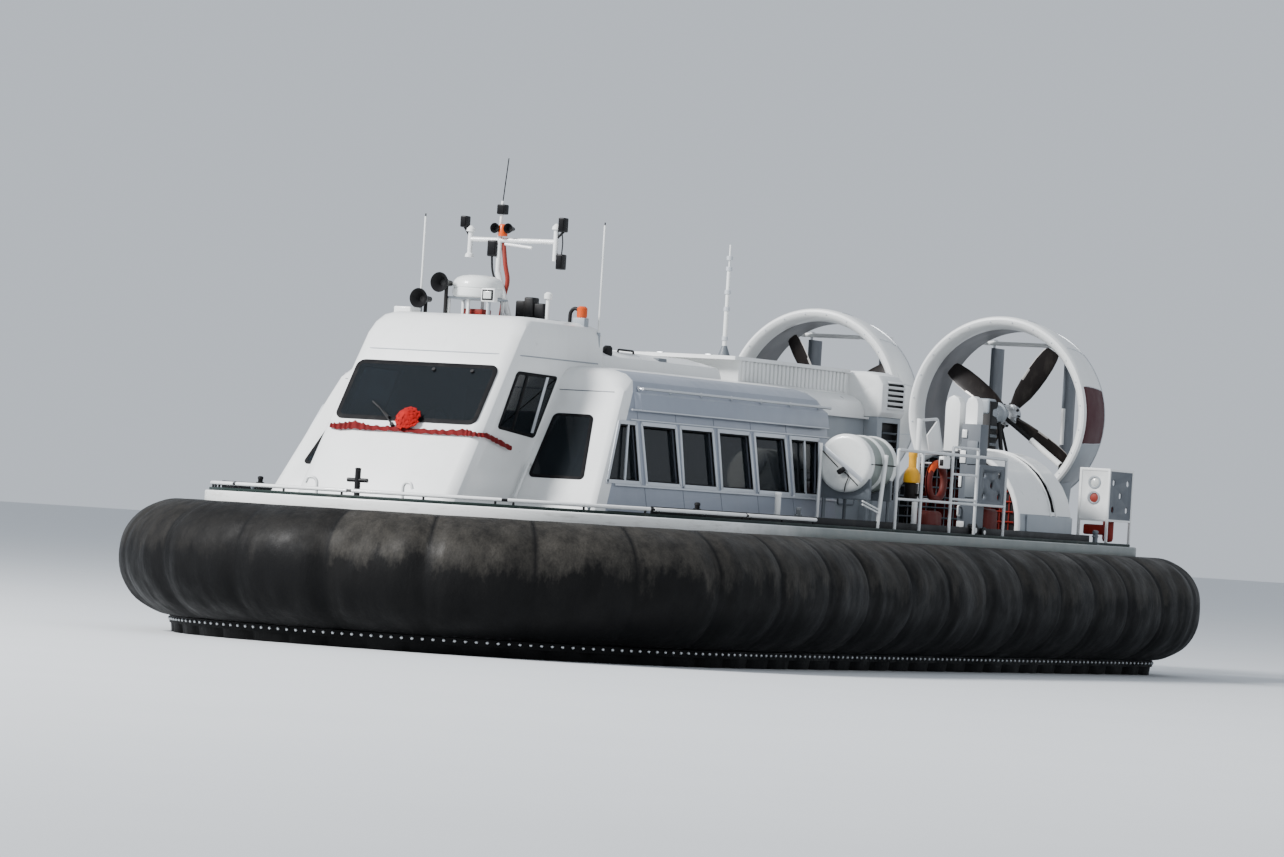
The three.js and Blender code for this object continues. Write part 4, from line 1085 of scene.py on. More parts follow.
@dataclass
class ToeRail:
    """The low white tube round the bow, the dark strip under it, and the black kick strip inboard, whose black
    partly stands for the shadow along the deck's edge.
    """

    plan: Plan
    bow_steps: int = 24
    deck_z: float = 1.6804
    strip_end: float = 6.4
    tube_end: float = -1.87
    tube_z: float = 1.755
    radius: float = 0.02
    lengths: int = 8
    kick_y: Pair = (-5.2, 5.6)
    kick_x: float = 2.668
    kick_tall: float = 0.105
    kick_inset: float = 0.105
    kick_thick: float = 0.012

    def path(self, offset: float, z: float, end_y: float) -> list[Vector]:
        """The rail's line at an offset from the deck's edge, from starboard round the bow to port."""
        half = [Vector((x, y, z)) for x, y in self.plan.half(offset, self.bow_steps) if y < end_y]
        half.append(Vector((self.plan.half_beam + offset, end_y, z)))
        return [Vector((-p.x, p.y, z)) for p in half[:0:-1]] + half

    def build(self) -> None:
        """Makes the strip, the tubes and their feet."""
        outer, inner = (self.path(offset, 0.0, self.strip_end) for offset in (-0.04, -0.09))
        loops = []
        for a, b in zip(outer, inner):
            section = ((a, self.deck_z), (a, self.deck_z + 0.03), (b, self.deck_z + 0.03), (b, self.deck_z))
            loops.append([(p.x, p.y, z) for p, z in section])
        parts = [paint(softened(skin("strip", loops), 0.006), Finish.DARK_GREEN)]
        line = self.path(-0.065, self.tube_z, self.tube_end)
        marks = [0.0]
        for p, q in zip(line, line[1:]):
            marks.append(marks[-1] + (q - p).length)
        step = marks[-1] / self.lengths
        for k in range(self.lengths):
            low, high = k * step + 0.03, (k + 1) * step - 0.03
            path = [self.at(line, marks, low)]
            path += [p for p, s in zip(line, marks) if low + 0.02 < s < high - 0.02]
            path.append(self.at(line, marks, high))
            parts.append(paint(tube("length", path, self.radius, 0.02), Finish.WHITE))
            for s in (low + 0.06, (low + high) / 2, high - 0.06):
                p = self.at(line, marks, s)
                foot = tube("foot", [(p.x, p.y, self.deck_z + 0.02), tuple(p)], 0.013, sides=2)
                parts.append(paint(foot, Finish.BLACK))
        for k in range(1, self.lengths):
            ends = [self.at(line, marks, k * step + d) for d in (-0.035, 0.035)]
            parts.append(paint(tube("joint", ends, 0.015, sides=2), Finish.BLACK))
        fitted(joined("toe_rail_lengths", parts), CRAFT, "white_paint", "toe_rail")
        self.kick_strip()

    def kick_strip(self) -> None:
        """Makes the low black strip behind the tube, and behind the side rails further aft, partly a painted
        shadow along the deck's edge.
        """
        (near, aft), low, top = self.kick_y, self.deck_z, self.deck_z + self.kick_tall
        curve = self.plan.half(-self.kick_inset, self.bow_steps)
        line = [(x, y) for x, y in curve if near < y < self.tube_end]
        line.append((self.plan.half_beam - self.kick_inset, self.tube_end))
        loops = []
        for x, y in line:
            back = x - self.kick_thick
            loops.append([(x, y, low), (x, y, top), (back, y, top), (back, y, low)])
        parts = [softened(skin("kick", loops), 0.003)]
        x = self.kick_x
        # The aft strip's black is partly a painted shadow along the deck's edge.
        parts.append(block("kick", (x - self.kick_thick, self.tube_end, low), (x, aft, top), 0.003))
        both(paint(joined("kick_strip_port", parts), Finish.BLACK), CRAFT, "black_plastic")

    @staticmethod
    def at(line: Sequence[Vector], marks: Sequence[float], s: float) -> Vector:
        """The point at a distance along the line."""
        for p, q, start, end in zip(line, line[1:], marks, marks[1:]):
            if s <= end:
                return p.lerp(q, (s - start) / (end - start))
        return line[-1]


@dataclass
class Pilothouse:
    """The pilothouse with its windscreen, side windows, wiper and seams."""

    front_y: float = -6.3
    base_z: float = 1.68
    rake: float = 0.695
    wall_x: float = 0.921
    screen: tuple[Pair, ...] = ((-0.83, 3.11), (0.83, 3.11), (0.828, 2.49), (-0.828, 2.49))
    side: tuple[Pair, ...] = ((-5.085, 3.055), (-5.44, 2.495), (-4.70, 2.425), (-4.275, 3.04))
    corner: float = 0.09
    divider: tuple[Pair, Pair] = ((-4.93, 3.05), (-5.19, 2.47))
    divider_wide: float = 0.05
    wiper_foot: Pair = (-0.108, 2.437)

    def on_front(self, x: float, z: float, out: float = 0.0) -> Point:
        """A point on the raked front, or out from it."""
        normal = Vector((0, -1, self.rake)).normalized()
        return tuple(Vector((x, self.front_y + self.rake * (z - self.base_z), z)) + out * normal)

    def build(self) -> None:
        """Makes the pilothouse's pieces."""
        shell = refined("pilothouse_shell", 0.02, 3, 28)
        paint(shell, Finish.WHITE)
        fitted(shell, CRAFT, "white_paint", "pilothouse_shell")
        self.windows()
        self.wiper()
        self.trim()

    def windows(self) -> None:
        """Makes the bonded windscreen and side windows."""
        path = [self.on_front(x, z, 0.010) for x, z in self.screen]
        glass = bonded("windscreen_bonded", path, (0, -1, self.rake), self.corner, 0.05)
        fitted(glass, CRAFT, "dark_glass", "windscreen")
        outline = grown(self.side, 0.02)
        x = self.wall_x + 0.010
        parts = [bonded("pilothouse_window_port", [(x, y, z) for y, z in outline], (1, 0, 0), 0.05)]
        (top, top_z), (low, low_z) = self.divider
        wide = self.divider_wide
        bar = [(x, top, top_z), (x, top + wide, top_z), (x, low + wide, low_z), (x, low, low_z)]
        add(parts, Finish.TRIM, panel("divider", bar, (1, 0, 0), 0.008))
        bar = [(p[0], p[1] + 0.42, p[2] - 0.01) for p in bar]
        add(parts, Finish.POST, panel("divider", bar, (1, 0, 0), 0.008))
        both(joined("pilothouse_window_port", parts), CRAFT, "dark_glass", "pilothouse_glass_port")

    def wiper(self) -> None:
        """Makes the windscreen's wiper with its arm, blade and spindle."""
        x, z = self.wiper_foot
        foot, elbow = self.on_front(x, z, 0.02), self.on_front(x - 0.04, z + 0.03, 0.045)
        tip = self.on_front(x - 0.23, z + 0.17, 0.045)
        ends = [self.on_front(x - 0.07, z + 0.075, 0.03), self.on_front(x - 0.33, z + 0.226, 0.03)]
        parts = [
            tube("arm", [foot, elbow, tip], 0.009, sides=2), tube("blade", ends, 0.012, sides=2),
            tube("spindle", [self.on_front(x, z, -0.01), self.on_front(x, z, 0.04)], 0.022),
        ]
        for place in ((0.10, 3.03), (0.55, 3.03)):
            spot = [self.on_front(*place, 0.01), self.on_front(*place, 0.03)]
            parts.append(tube("catch", spot, 0.02))
        fitted(paint(joined("windscreen_wiper", parts), Finish.BLACK), CRAFT, "black_plastic")

    def trim(self) -> None:
        """Makes the brow's seam and the foot moulding."""
        parts = []
        for z, half, radius in ((3.235, 0.921, 0.006), (1.70, 0.931, 0.014)):
            front = self.on_front(0, z, 0.002)[1]
            path = [(-half, -3.4, z), (-half, front + 0.13, z), (-half + 0.13, front, z)]
            path += [(-p[0], p[1], p[2]) for p in path[::-1]]
            parts.append(tube("seam", path, radius, 0.12))
        fitted(paint(joined("pilothouse_seams", parts), Finish.PALE_GREY), CRAFT, "grey_paint")


@dataclass
class Ribbon:
    """The gathered ribbon across the pilothouse front, with its rosette."""

    house: Pilothouse
    # Across the front: x, z of the lower edge, height of the ribbon.
    line: tuple[Point, ...] = (
        (-0.82, 2.375, 0.055), (-0.70, 2.36, 0.085), (-0.555, 2.375, 0.10), (-0.35, 2.37, 0.06),
        (-0.10, 2.375, 0.055), (0.27, 2.365, 0.055), (0.55, 2.365, 0.06), (0.764, 2.365, 0.085),
        (0.875, 2.365, 0.05),
    )
    # Along the port side: x, y, z of the lower edge, height of the ribbon.
    tail: tuple[tuple[float, float, float, float], ...] = (
        (0.940, -5.74, 2.37, 0.05), (0.942, -5.525, 2.32, 0.06), (0.942, -5.215, 2.26, 0.05),
    )
    steps: int = 12
    rosette: Pair = (0.06, 2.495)
    petal_width: float = 0.08
    petals: int = 30

    def build(self) -> None:
        """Makes the ribbon and the rosette as thin cloth."""
        rows: list[list[Point]] = [[] for _ in range(5)]
        for i, (place, up, out, tall) in enumerate(self.stations()):
            for k, row in enumerate(rows):
                t = k / 4
                pleat = 0.010 + 0.012 * (1 + math.sin(1.25 * i + 1.1 * math.sin(0.37 * i) + 2.0 * t))
                rise = tall * t + 0.008 * t * math.sin(2.1 * i)
                row.append(tuple(place + rise * up + pleat * out))
        self.cloth(skin("ribbon_garland", rows, closed=False), Finish.GARLAND)
        flower, total = [], 0.0
        for k in range(self.petals):
            reach = 0.045 + 0.105 * math.sqrt((k + 1) / self.petals)
            petal, length = self.petal(2.399963 * k, reach, 0.11 - 0.07 * (k / self.petals))
            flower.append(petal)
            total += length
        self.cloth(joined("ribbon_rosette", flower), Finish.RIBBON)

    def stations(self) -> list[tuple[Vector, Vector, Vector, float]]:
        """Places on the ribbon's lower edge, each with the way up, the way out and the height there."""
        rake = self.house.rake
        up, out = Vector((0, rake, 1)).normalized(), Vector((0, -1, rake)).normalized()
        spots = [(Vector(self.house.on_front(x, z)), up, out, tall) for x, z, tall in self.line]
        spots += [(Vector(p[:3]), Vector((0, 0, 1)), Vector((1, 0, 0)), p[3]) for p in self.tail]
        fine = []
        for (p, u, n, h), (q, v, m, g) in zip(spots, spots[1:]):
            for i in range(self.steps):
                t = i / self.steps
                fine.append((p.lerp(q, t), u.lerp(v, t), n.lerp(m, t), h + t * (g - h)))
        return [*fine, spots[-1]]

    @staticmethod
    def measured(row: Sequence[Point]) -> float:
        """The length along a row of points."""
        return sum((Vector(b) - Vector(a)).length for a, b in zip(row, row[1:]))

    def petal(self, turn: float, reach: float, height: float) -> tuple[Object, float]:
        """One loop of the rosette, a strip of ribbon bent out and back, and its length."""
        normal = Vector((0, -1, self.house.rake)).normalized()
        up = Vector((1, 0, 0)).cross(normal)
        middle = Vector(self.house.on_front(*self.rosette, 0.03))
        away = math.cos(turn) * Vector((1, 0, 0)) + math.sin(turn) * up
        across = normal.cross(away)
        rows: list[list[Point]] = [[], []]
        spots = []
        for i in range(9):
            t = i / 8 * math.pi
            spots.append(middle + away * reach * math.sin(t) + normal * height * (1 - math.cos(t)) / 2)
            spread = 0.5 * self.petal_width * (0.35 + 0.65 * math.sin(t))
            rows[0].append(tuple(spots[-1] + across * spread))
            rows[1].append(tuple(spots[-1] - across * spread))
        return skin("petal", rows, closed=False), self.measured(spots)

    def cloth(self, obj: Object, finish: Finish) -> None:
        modified(obj, "SUBSURF", levels=1, render_levels=1)
        paint(smooth(obj, 60), finish)
        fitted(obj, CRAFT, "red_paint")


@dataclass
class Cabin:
    """The passenger cabin: shell, silver sides with a painted shade, framed windows, rails and doors."""

    base_z: float = 1.68
    front_y: float = -5.16
    rake: float = 0.72
    half_sill: float = 1.86
    sill_z: float = 2.03
    top_z: float = 2.61
    lean: float = 0.1836
    aft_y: float = 0.5
    windows: tuple[tuple[float, float, float, float], ...] = (
        (-4.80, -4.10, -4.06, -4.385), (-3.925, -3.205, -3.18, -3.91), (-3.10, -2.37, -2.34, -3.045),
        (-2.23, -1.50, -1.485, -2.18), (-1.37, -0.65, -0.635, -1.335), (-0.52, 0.04, 0.20, -0.48),
    )
    front_window: tuple[Pair, ...] = ((1.035, 2.03), (1.64, 2.03), (1.455, 2.66), (1.035, 2.66))
    split_windows: tuple[int, ...] = (0, 5)
    divider_half: float = 0.018
    door_x: Pair = (1.255, 1.615)

    def on_side(self, y: float, z: float, out: float = 0.0) -> Point:
        """A point on the port wall, or out from it."""
        normal = Vector((1, 0, self.lean)).normalized()
        return tuple(Vector((self.half_sill - self.lean * (z - self.sill_z), y, z)) + out * normal)

    def on_front(self, x: float, z: float, out: float = 0.0) -> Point:
        """A point on the raked front, or out from it."""
        normal = Vector((0, -1, self.rake)).normalized()
        return tuple(Vector((x, self.front_y + self.rake * (z - self.base_z), z)) + out * normal)

    def build(self) -> None:
        """Makes the cabin's pieces."""
        self.shell()
        self.side_frames()
        self.front_glass()
        self.rails()
        self.doors()

    def shell(self) -> None:
        """Makes the shell: white front corners, and silver sides and silver roof edges, their silver darkened as
        a painted shade.
        """
        shell = refined("cabin_shell", 0.014, 3, 28)
        split(shell, (0, self.front_y + 0.24, self.base_z), (0, 1, -self.rake * 0.97))

        def silver(p: Vector, n: Vector) -> bool:
            behind = p.y > self.front_y + 0.24 + self.rake * 0.97 * (p.z - self.base_z)
            return behind and abs(p.x) > 1.2 and p.y < self.aft_y - 0.01 and p.z < 3.17

        # The silver faces carry a painted shade as well as silver paint.
        paint(shell, Finish.WHITE, (Finish.SILVER, silver))
        fitted(shell, CRAFT, "white_paint", "cabin_shell")

    def side_frames(self) -> None:
        """Makes the window frames, dividers, sill and header of the sides."""
        out = (1.0, 0.0, self.lean)
        parts = []
        for index, (a, b, c, d) in enumerate(self.windows):
            outline = [(a, self.sill_z), (b, self.sill_z), (c, self.top_z), (d, self.top_z)]
            path = [self.on_side(y, z) for y, z in grown(outline, 0.036)]
            parts.append(paint(framed("frame", path, out, 0.04, 0.012, 0.02), Finish.POST))
            path = [self.on_side(y, z, -0.012) for y, z in grown(outline, 0.003)]
            parts.append(paint(framed("gasket", path, out, 0.022, 0.016, 0.03), Finish.TRIM))
            if index in self.split_windows:
                share = 0.56 if index == 0 else 0.5
                low, high = a + share * (b - a), d + share * (c - d)
                half = self.divider_half
                corners = [(low - half, self.sill_z), (low + half, self.sill_z)]
                corners += [(high + half, self.top_z), (high - half, self.top_z)]
                bar = [self.on_side(y, z, -0.01) for y, z in corners]
                add(parts, Finish.POST, panel("divider", bar, out, 0.016))
        for low, high, thick, finish in (
            (1.972, 1.992, 0.018, Finish.POST), (2.655, 2.668, 0.014, Finish.POST),
            (1.69, 1.715, 0.012, Finish.TRIM),
        ):
            start = self.front_y + 0.30 + self.rake * (low - self.base_z)
            bar = [(start, low), (self.aft_y - 0.03, low), (self.aft_y - 0.03, high), (start, high)]
            parts.append(paint(panel("strip", [self.on_side(y, z) for y, z in bar], out, thick), finish))
        for y in (-3.99, -3.14, -2.28, -1.42, -0.57):
            for low, high in ((1.715, 1.972), (2.67, 2.76)):
                bar = [(y, low), (y + 0.006, low), (y + 0.006, high), (y, high)]
                seam = panel("seam", [self.on_side(v, z) for v, z in bar], out, 0.002, bevel=0)
                parts.append(paint(seam, Finish.GREY))
        drip = [(1.772, -4.18, 2.762), (1.772, 0.40, 2.762)]
        parts.append(paint(tube("drip_rail", drip, 0.010), Finish.POST))
        both(joined("cabin_window_frames_port", parts), CRAFT, "grey_paint")

    def front_glass(self) -> None:
        """Makes the bonded front windows beside the pilothouse, and the corner's seam."""
        path = [self.on_front(x, z, 0.010) for x, z in grown(self.front_window, 0.02)]
        glass = bonded("cabin_front_window_port", path, (0, -1, self.rake), 0.06)
        both(glass, CRAFT, "dark_glass", "cabin_front_glass_port")
        seam = [self.on_front(0.96, 2.93, 0.001), self.on_front(1.60, 2.93, 0.001)]
        grab = [(1.0, 1.76), (1.0, 2.13)]
        bar = [self.on_front(*grab[0], 0.0), self.on_front(*grab[0], 0.05)]
        bar += [self.on_front(*grab[1], 0.05), self.on_front(*grab[1], 0.0)]
        parts = [paint(tube("seam", seam, 0.005, sides=2), Finish.GREY)]
        parts.append(paint(tube("front_grab", bar, 0.014, 0.04), Finish.WHITE))
        parts.append(paint(tube("lamp", [(1.655, -4.27, 2.70), (1.70, -4.30, 2.70)], 0.035), Finish.LENS))
        both(joined("cabin_front_trim_port", parts), CRAFT, "white_paint")

    def rails(self) -> None:
        """Makes the grab rails along the roof edges."""
        x, z = 1.77, 2.985
        parts = [tube("rail", [(x, -3.97, z), (x, 0.42, z)], 0.015)]
        washer = [(0.026, 0), (0.026, 0.008), (0.02, 0.012)]
        for i in range(7):
            y = -3.9 + 0.7 * i
            parts.append(tube("stem", [(x, y, z), (1.70, y, z), (1.68, y, z - 0.01)], 0.010, 0.02, 2))
            parts.append(turned("washer", washer, (1.682, y, z), Axis.X, 16))
        both(paint(joined("roof_grab_rail_port", parts), Finish.STEEL), CRAFT, "bare_steel", "grab_rail_port")

    def doors(self) -> None:
        """Makes the aft doors with a window, a handle and edge moulding."""
        low, high = self.door_x
        y = self.aft_y - 0.002
        leaf = paint(refined("cabin_door_port", 0.004, 2), Finish.WHITE)
        window = [(low + 0.07, 2.25), (high - 0.07, 2.25), (high - 0.07, 2.72), (low + 0.07, 2.72)]
        glass = bonded("door_window", [(x, y + 0.006, z) for x, z in window], (0, 1, 0), 0.05, 0.022)
        handle = [(low + 0.05, y, 2.06), (low + 0.05, y + 0.045, 2.06), (low + 0.17, y + 0.045, 2.06)]
        lever = paint(tube("lever", handle, 0.009, 0.02), Finish.STEEL)
        rose = turned("rose", [(0.03, 0), (0.03, 0.008), (0.022, 0.012)], (low + 0.05, y, 2.06))
        paint(rose, Finish.STEEL)
        edge = [(low + 0.03, 1.80), (high - 0.03, 1.80), (high - 0.03, 2.12), (low + 0.03, 2.12)]
        band = framed("panel_edge", [(x, y, z) for x, z in edge], (0, 1, 0), 0.012, 0.004, 0.03)
        parts = [leaf, glass, lever, rose, paint(band, Finish.PALE_GREY)]
        both(joined("cabin_door_leaf_port", parts), "cabin_door_port", "white_paint", "cabin_door_port")


@dataclass
class Interior:
    """Passenger seats and the helm, seen through the glass."""

    rows: int = 5
    first_y: float = -2.6
    pitch: float = 0.6
    floor_z: float = 0.9504
    columns: tuple[float, ...] = (0.65, 1.15)
    width: float = 0.43

    def build(self) -> None:
        """Makes the seats and the helm."""
        pads = joined("pads", [self.cushion(), self.backrest()])
        covers = self.cover()
        frame_parts = self.frame()
        sets: dict[str, list[Object]] = {"pads": [], "frames": []}
        for i in range(self.rows):
            for x in self.columns:
                move = (x + self.width / 2, self.first_y + i * self.pitch, 0.0)
                sets["pads"].append(copied(pads, move))
                sets["pads"].append(copied(covers, move))
                sets["frames"].append(copied(frame_parts, move))
        for master in (pads, covers, frame_parts):
            bpy.data.objects.remove(master)
        runner = block("runner", (1.08, -2.66, self.floor_z), (1.13, -0.16, self.floor_z + 0.04), 0.006)
        sets["frames"].append(paint(runner, Finish.STEEL))
        cushions = both(joined("seat_pads_port", sets["pads"]), CRAFT, "seat_fabric", "passenger_seats_port")
        both(joined("seat_frames_port", sets["frames"]), CRAFT, "black_metal")
        self.helm()

    def cushion(self) -> Object:
        """One seat cushion, crowned, with rounded sides."""
        half = self.width / 2 - 0.012
        obj = block("cushion", (-half, -0.22, 1.29), (half, 0.20, 1.395), 0.03, 3)
        return self.crowned(obj, Vector((0, 0, 1)), 1.38, 0.022)

    def backrest(self) -> Object:
        """One back cushion, leaning aft."""
        half = self.width / 2 - 0.012
        obj = block("backrest", (-half, 0.175, 1.36), (half, 0.265, 2.10), 0.035, 3)
        self.crowned(obj, Vector((0, -1, 0)), -0.19, 0.02)
        obj.data.transform(Matrix(((1, 0, 0, 0), (0, 1, 0.115, -0.155), (0, 0, 1, 0), (0, 0, 0, 1))))
        return obj

    def crowned(self, obj: Object, out: Vector, level: float, rise: float) -> Object:
        """Subdivides a cushion and lifts the middle of its face into a crown."""
        only(obj)
        bpy.ops.object.mode_set(mode="EDIT")
        bpy.ops.mesh.select_all(action="SELECT")
        bpy.ops.mesh.subdivide(number_cuts=2)
        bpy.ops.object.mode_set(mode="OBJECT")
        spots = [v for v in obj.data.vertices if v.co.dot(out) > level]
        middle = sum((v.co for v in spots), Vector()) / len(spots)
        reach = max((v.co - middle).length for v in spots)
        for v in spots:
            v.co += out * rise * max(0.0, 1 - ((v.co - middle).length / reach) ** 2)
        return paint(smooth(modified(obj, "SMOOTH", factor=0.5, iterations=4), 60), Finish.SEAT)

    def cover(self) -> Object:
        """The pale cloth over the top of each back."""
        half = self.width / 2 - 0.004
        obj = block("head_cover", (-half, 0.262, 1.82), (half, 0.368, 2.115), 0.035, 3)
        return paint(obj, Finish.PALE_CLOTH)

    def frame(self) -> Object:
        """The legs, pan and armrests of one seat."""
        half = self.width / 2
        parts = [block("pan", (-half + 0.01, -0.21, 1.265), (half - 0.01, 0.25, 1.288), 0.006)]
        parts.append(block("pedestal", (-0.13, -0.06, self.floor_z), (0.13, 0.06, 1.27), 0.01))
        for s in (-1, 1):
            line = ((0.21, 1.30), (0.25, 1.58), (-0.12, 1.58), (-0.15, 1.30))
            parts.append(tube("arm", [(s * half, y, z) for y, z in line], 0.014, 0.05, 2))
        return paint(joined("seat_frame", parts), Finish.BLACK)

    def helm(self) -> None:
        """Makes the helm with its wheel and levers."""
        helm = refined("helm", 0.02, 3)
        paint(helm, Finish.BLACK, (Finish.SEAT, lambda p, n: p.y > -4.65 and p.z > 2.12))
        parts = [helm]
        rim = [(0.19, -0.012), (0.205, 0), (0.19, 0.012), (0.175, 0)]
        wheel = turned("wheel", rim, (0, 0, 0), Axis.Y, 32, ring=True)
        spokes = [tube("spoke", [(0, 0, 0), (0.19 * math.sin(t), 0, 0.19 * math.cos(t))], 0.008, sides=2)
                  for t in (0.0, 2.1, 4.2)]
        column = tube("column", [(0, -0.16, -0.05), (0, 0.01, 0)], 0.025)
        steering = joined("steering", [wheel, *spokes, column])
        steering.data.transform(Matrix.Translation((-0.1, -4.95, 2.46)))
        parts.append(paint(steering, Finish.BLACK))
        for x in (0.22, 0.30):
            parts.append(paint(tube("lever", [(x, -5.15, 2.40), (x, -5.10, 2.60)], 0.010), Finish.STEEL))
        fitted(joined("helm_station", parts), CRAFT, "black_plastic", "helm")


@dataclass
class Machinery:
    """The engine casing with its ribs, intake louvres and vents, and the roof fairing."""

    trunk_half: float = 0.96
    trunk_y: Pair = (-0.25, 2.495)
    trunk_z: Pair = (3.22, 3.435)
    ribs: int = 23
    grey_below: float = 2.955
    intake_y: Pair = (2.5, 3.12)
    wall_x: float = 1.2

    def build(self) -> None:
        """Makes the casing's pieces."""
        self.casing()
        self.rib_walls()
        self.vents()
        fairing = paint(refined("roof_fairing", 0.05, 4, 20), Finish.WHITE)
        fitted(fairing, CRAFT, "white_paint", "roof_fairing")
        self.roof_details()

    def casing(self) -> None:
        """Makes the casing, grey below the shoulder, with a painted shade in its louvres."""
        shell = refined("engine_casing", 0.010, 2, 28)
        split(shell, (0, 0, self.grey_below), (0, 0, 1))
        # louvre: faces inside the intake's louvre slots, painted black as their shade.
        louvre = lambda p, n: 1.355 < abs(p.x) < 1.3995 and 2.615 < p.y < 3.035 and 3.07 < p.z < 3.355
        paint(
            shell, Finish.WHITE, (Finish.PALE_GREY, lambda p, n: p.z < self.grey_below and p.y > 0.52),
            (Finish.BLACK, louvre),
        )
        fitted(shell, CRAFT, "white_paint", "engine_casing")
        aft = refined("aft_casing", 0.010, 2)
        # hollow: the recess behind the vent slats, painted black as its shade.
        hollow = lambda p, n: 1.285 < abs(p.x) < 1.349 and 2.62 < p.y < 3.03 and 2.04 < p.z < 2.91
        paint(aft, Finish.PALE_GREY, (Finish.BLACK, hollow))
        fitted(aft, CRAFT, "grey_paint", "aft_casing")
        engines = paint(refined("engines", 0.03, 3), Finish.GREY)
        fitted(engines, CRAFT, "grey_paint", "engines")

    def rib_walls(self) -> None:
        """Makes the upright ribs along both sides of the raised trunk."""
        step = (self.trunk_y[1] - 0.5 - self.trunk_y[0]) / self.ribs
        x, (low, high) = self.trunk_half, self.trunk_z
        rib = block("rib", (x - 0.004, 0, low), (x + 0.022, 0.055, high), 0.010, 2)
        places = [Matrix.Translation((0, self.trunk_y[0] + 0.06 + i * step, 0)) for i in range(self.ribs + 4)]
        paint(rib, Finish.WHITE)
        both(smooth(scattered("trunk_ribs_port", rib, places)), CRAFT, "white_paint")

    def vents(self) -> None:
        """Makes the louvre blades, the opening's slats, the hatches with their latches, and the ledge."""
        near, far = self.intake_y[0] + 0.11, self.intake_y[1] - 0.08
        parts = []
        for i in range(6):
            z = 3.066 + 0.06 * i
            low = z - 0.012
            blade = [(1.396, near, z), (1.418, near, low), (1.418, far, low), (1.396, far, z)]
            add(parts, Finish.WHITE, panel("blade", blade, (0.4, 0, 1), 0.006))
        for i in range(9):
            z = 2.10 + 0.085 * i
            bar = [(1.335, 2.64, z), (1.352, 2.64, z + 0.02), (1.352, 3.01, z + 0.02), (1.335, 3.01, z)]
            add(parts, Finish.GREY, panel("slat", bar, (1, 0, -1), 0.005))
        x = self.wall_x
        wide, low, tall = 0.42, 1.95, 0.62
        latch = [(0.018, 0), (0.018, 0.02), (0.01, 0.026)]
        for y in (0.72, 1.30, 1.88):
            path = [(x, y, low), (x, y + wide, low), (x, y + wide, low + tall), (x, y, low + tall)]
            add(parts, Finish.PALE_GREY, panel("hatch", path, (1, 0, 0), 0.012, 0.04))
            add(parts, Finish.GREY, framed("hatch_edge", path, (1, 0, 0), 0.02, 0.02, 0.04))
            spot = (1.212, y + 0.36, low + tall / 2)
            add(parts, Finish.STEEL, turned("latch", latch, spot, Axis.X, 16))
        ledge = [(x, 0.52, 2.93), (x, 2.48, 2.93), (x, 2.48, 2.955), (x, 0.52, 2.955)]
        add(parts, Finish.WHITE, panel("ledge", ledge, (1, 0, 0), 0.05))
        both(joined("casing_vents_port", parts), CRAFT, "grey_paint")

    def roof_details(self) -> None:
        """Makes the aft aerial, the roof hatches and small roof fittings."""
        parts = []
        x, y = 0.0, 1.25
        foot = [(0.075, 0), (0.07, 0.05), (0.04, 0.13), (0.03, 0.16)]
        add(parts, Finish.GREY, turned("aerial_foot", foot, (x, y, 3.48), Axis.Z, 20))
        for low, high, radius in ((3.6, 4.05, 0.026), (4.05, 4.5, 0.022), (4.5, 4.77, 0.010)):
            add(parts, Finish.WHITE, tube("aerial", [(x, y, low), (x, y, high)], radius))
        collar = [(0.036, -0.02), (0.036, 0.02), (0.028, 0.026)]
        for z in (3.72, 4.05, 4.24, 4.5, 4.62):
            add(parts, Finish.POST, turned("collar", collar, (x, y, z), Axis.Z, 16))
        for low, high in (((-0.5, 0.3), (0.5, 1.0)), ((-0.55, 1.55), (0.55, 2.25))):
            add(parts, Finish.WHITE, block("hatch", (*low, 3.479), (*high, 3.505), 0.012, 3))
            edge = low[1]
            for sx in (-0.3, 0.3):
                hinge = block("hinge", (sx - 0.04, edge - 0.02, 3.48), (sx + 0.04, edge + 0.03, 3.512), 0.006)
                add(parts, Finish.STEEL, hinge)
        for sx in (-0.72, 0.72):
            bar = [(sx, -2.6, 3.34), (sx, -2.6, 3.42), (sx, -2.25, 3.42), (sx, -2.25, 3.34)]
            add(parts, Finish.BLACK, tube("roof_grab", bar, 0.012, 0.03))
            vent = block("vent", (sx - 0.13, -1.9, 3.33), (sx + 0.13, -1.72, 3.372), 0.012, 3)
            add(parts, Finish.GREY, vent)
        sensor = [(0.05, 0), (0.055, 0.03), (0.05, 0.09), (0.03, 0.11)]
        add(parts, Finish.BLACK, turned("sensor", sensor, (0.80, -2.98, 3.335), Axis.Z, 20))
        fitted(joined("roof_fittings", parts), CRAFT, "white_paint")


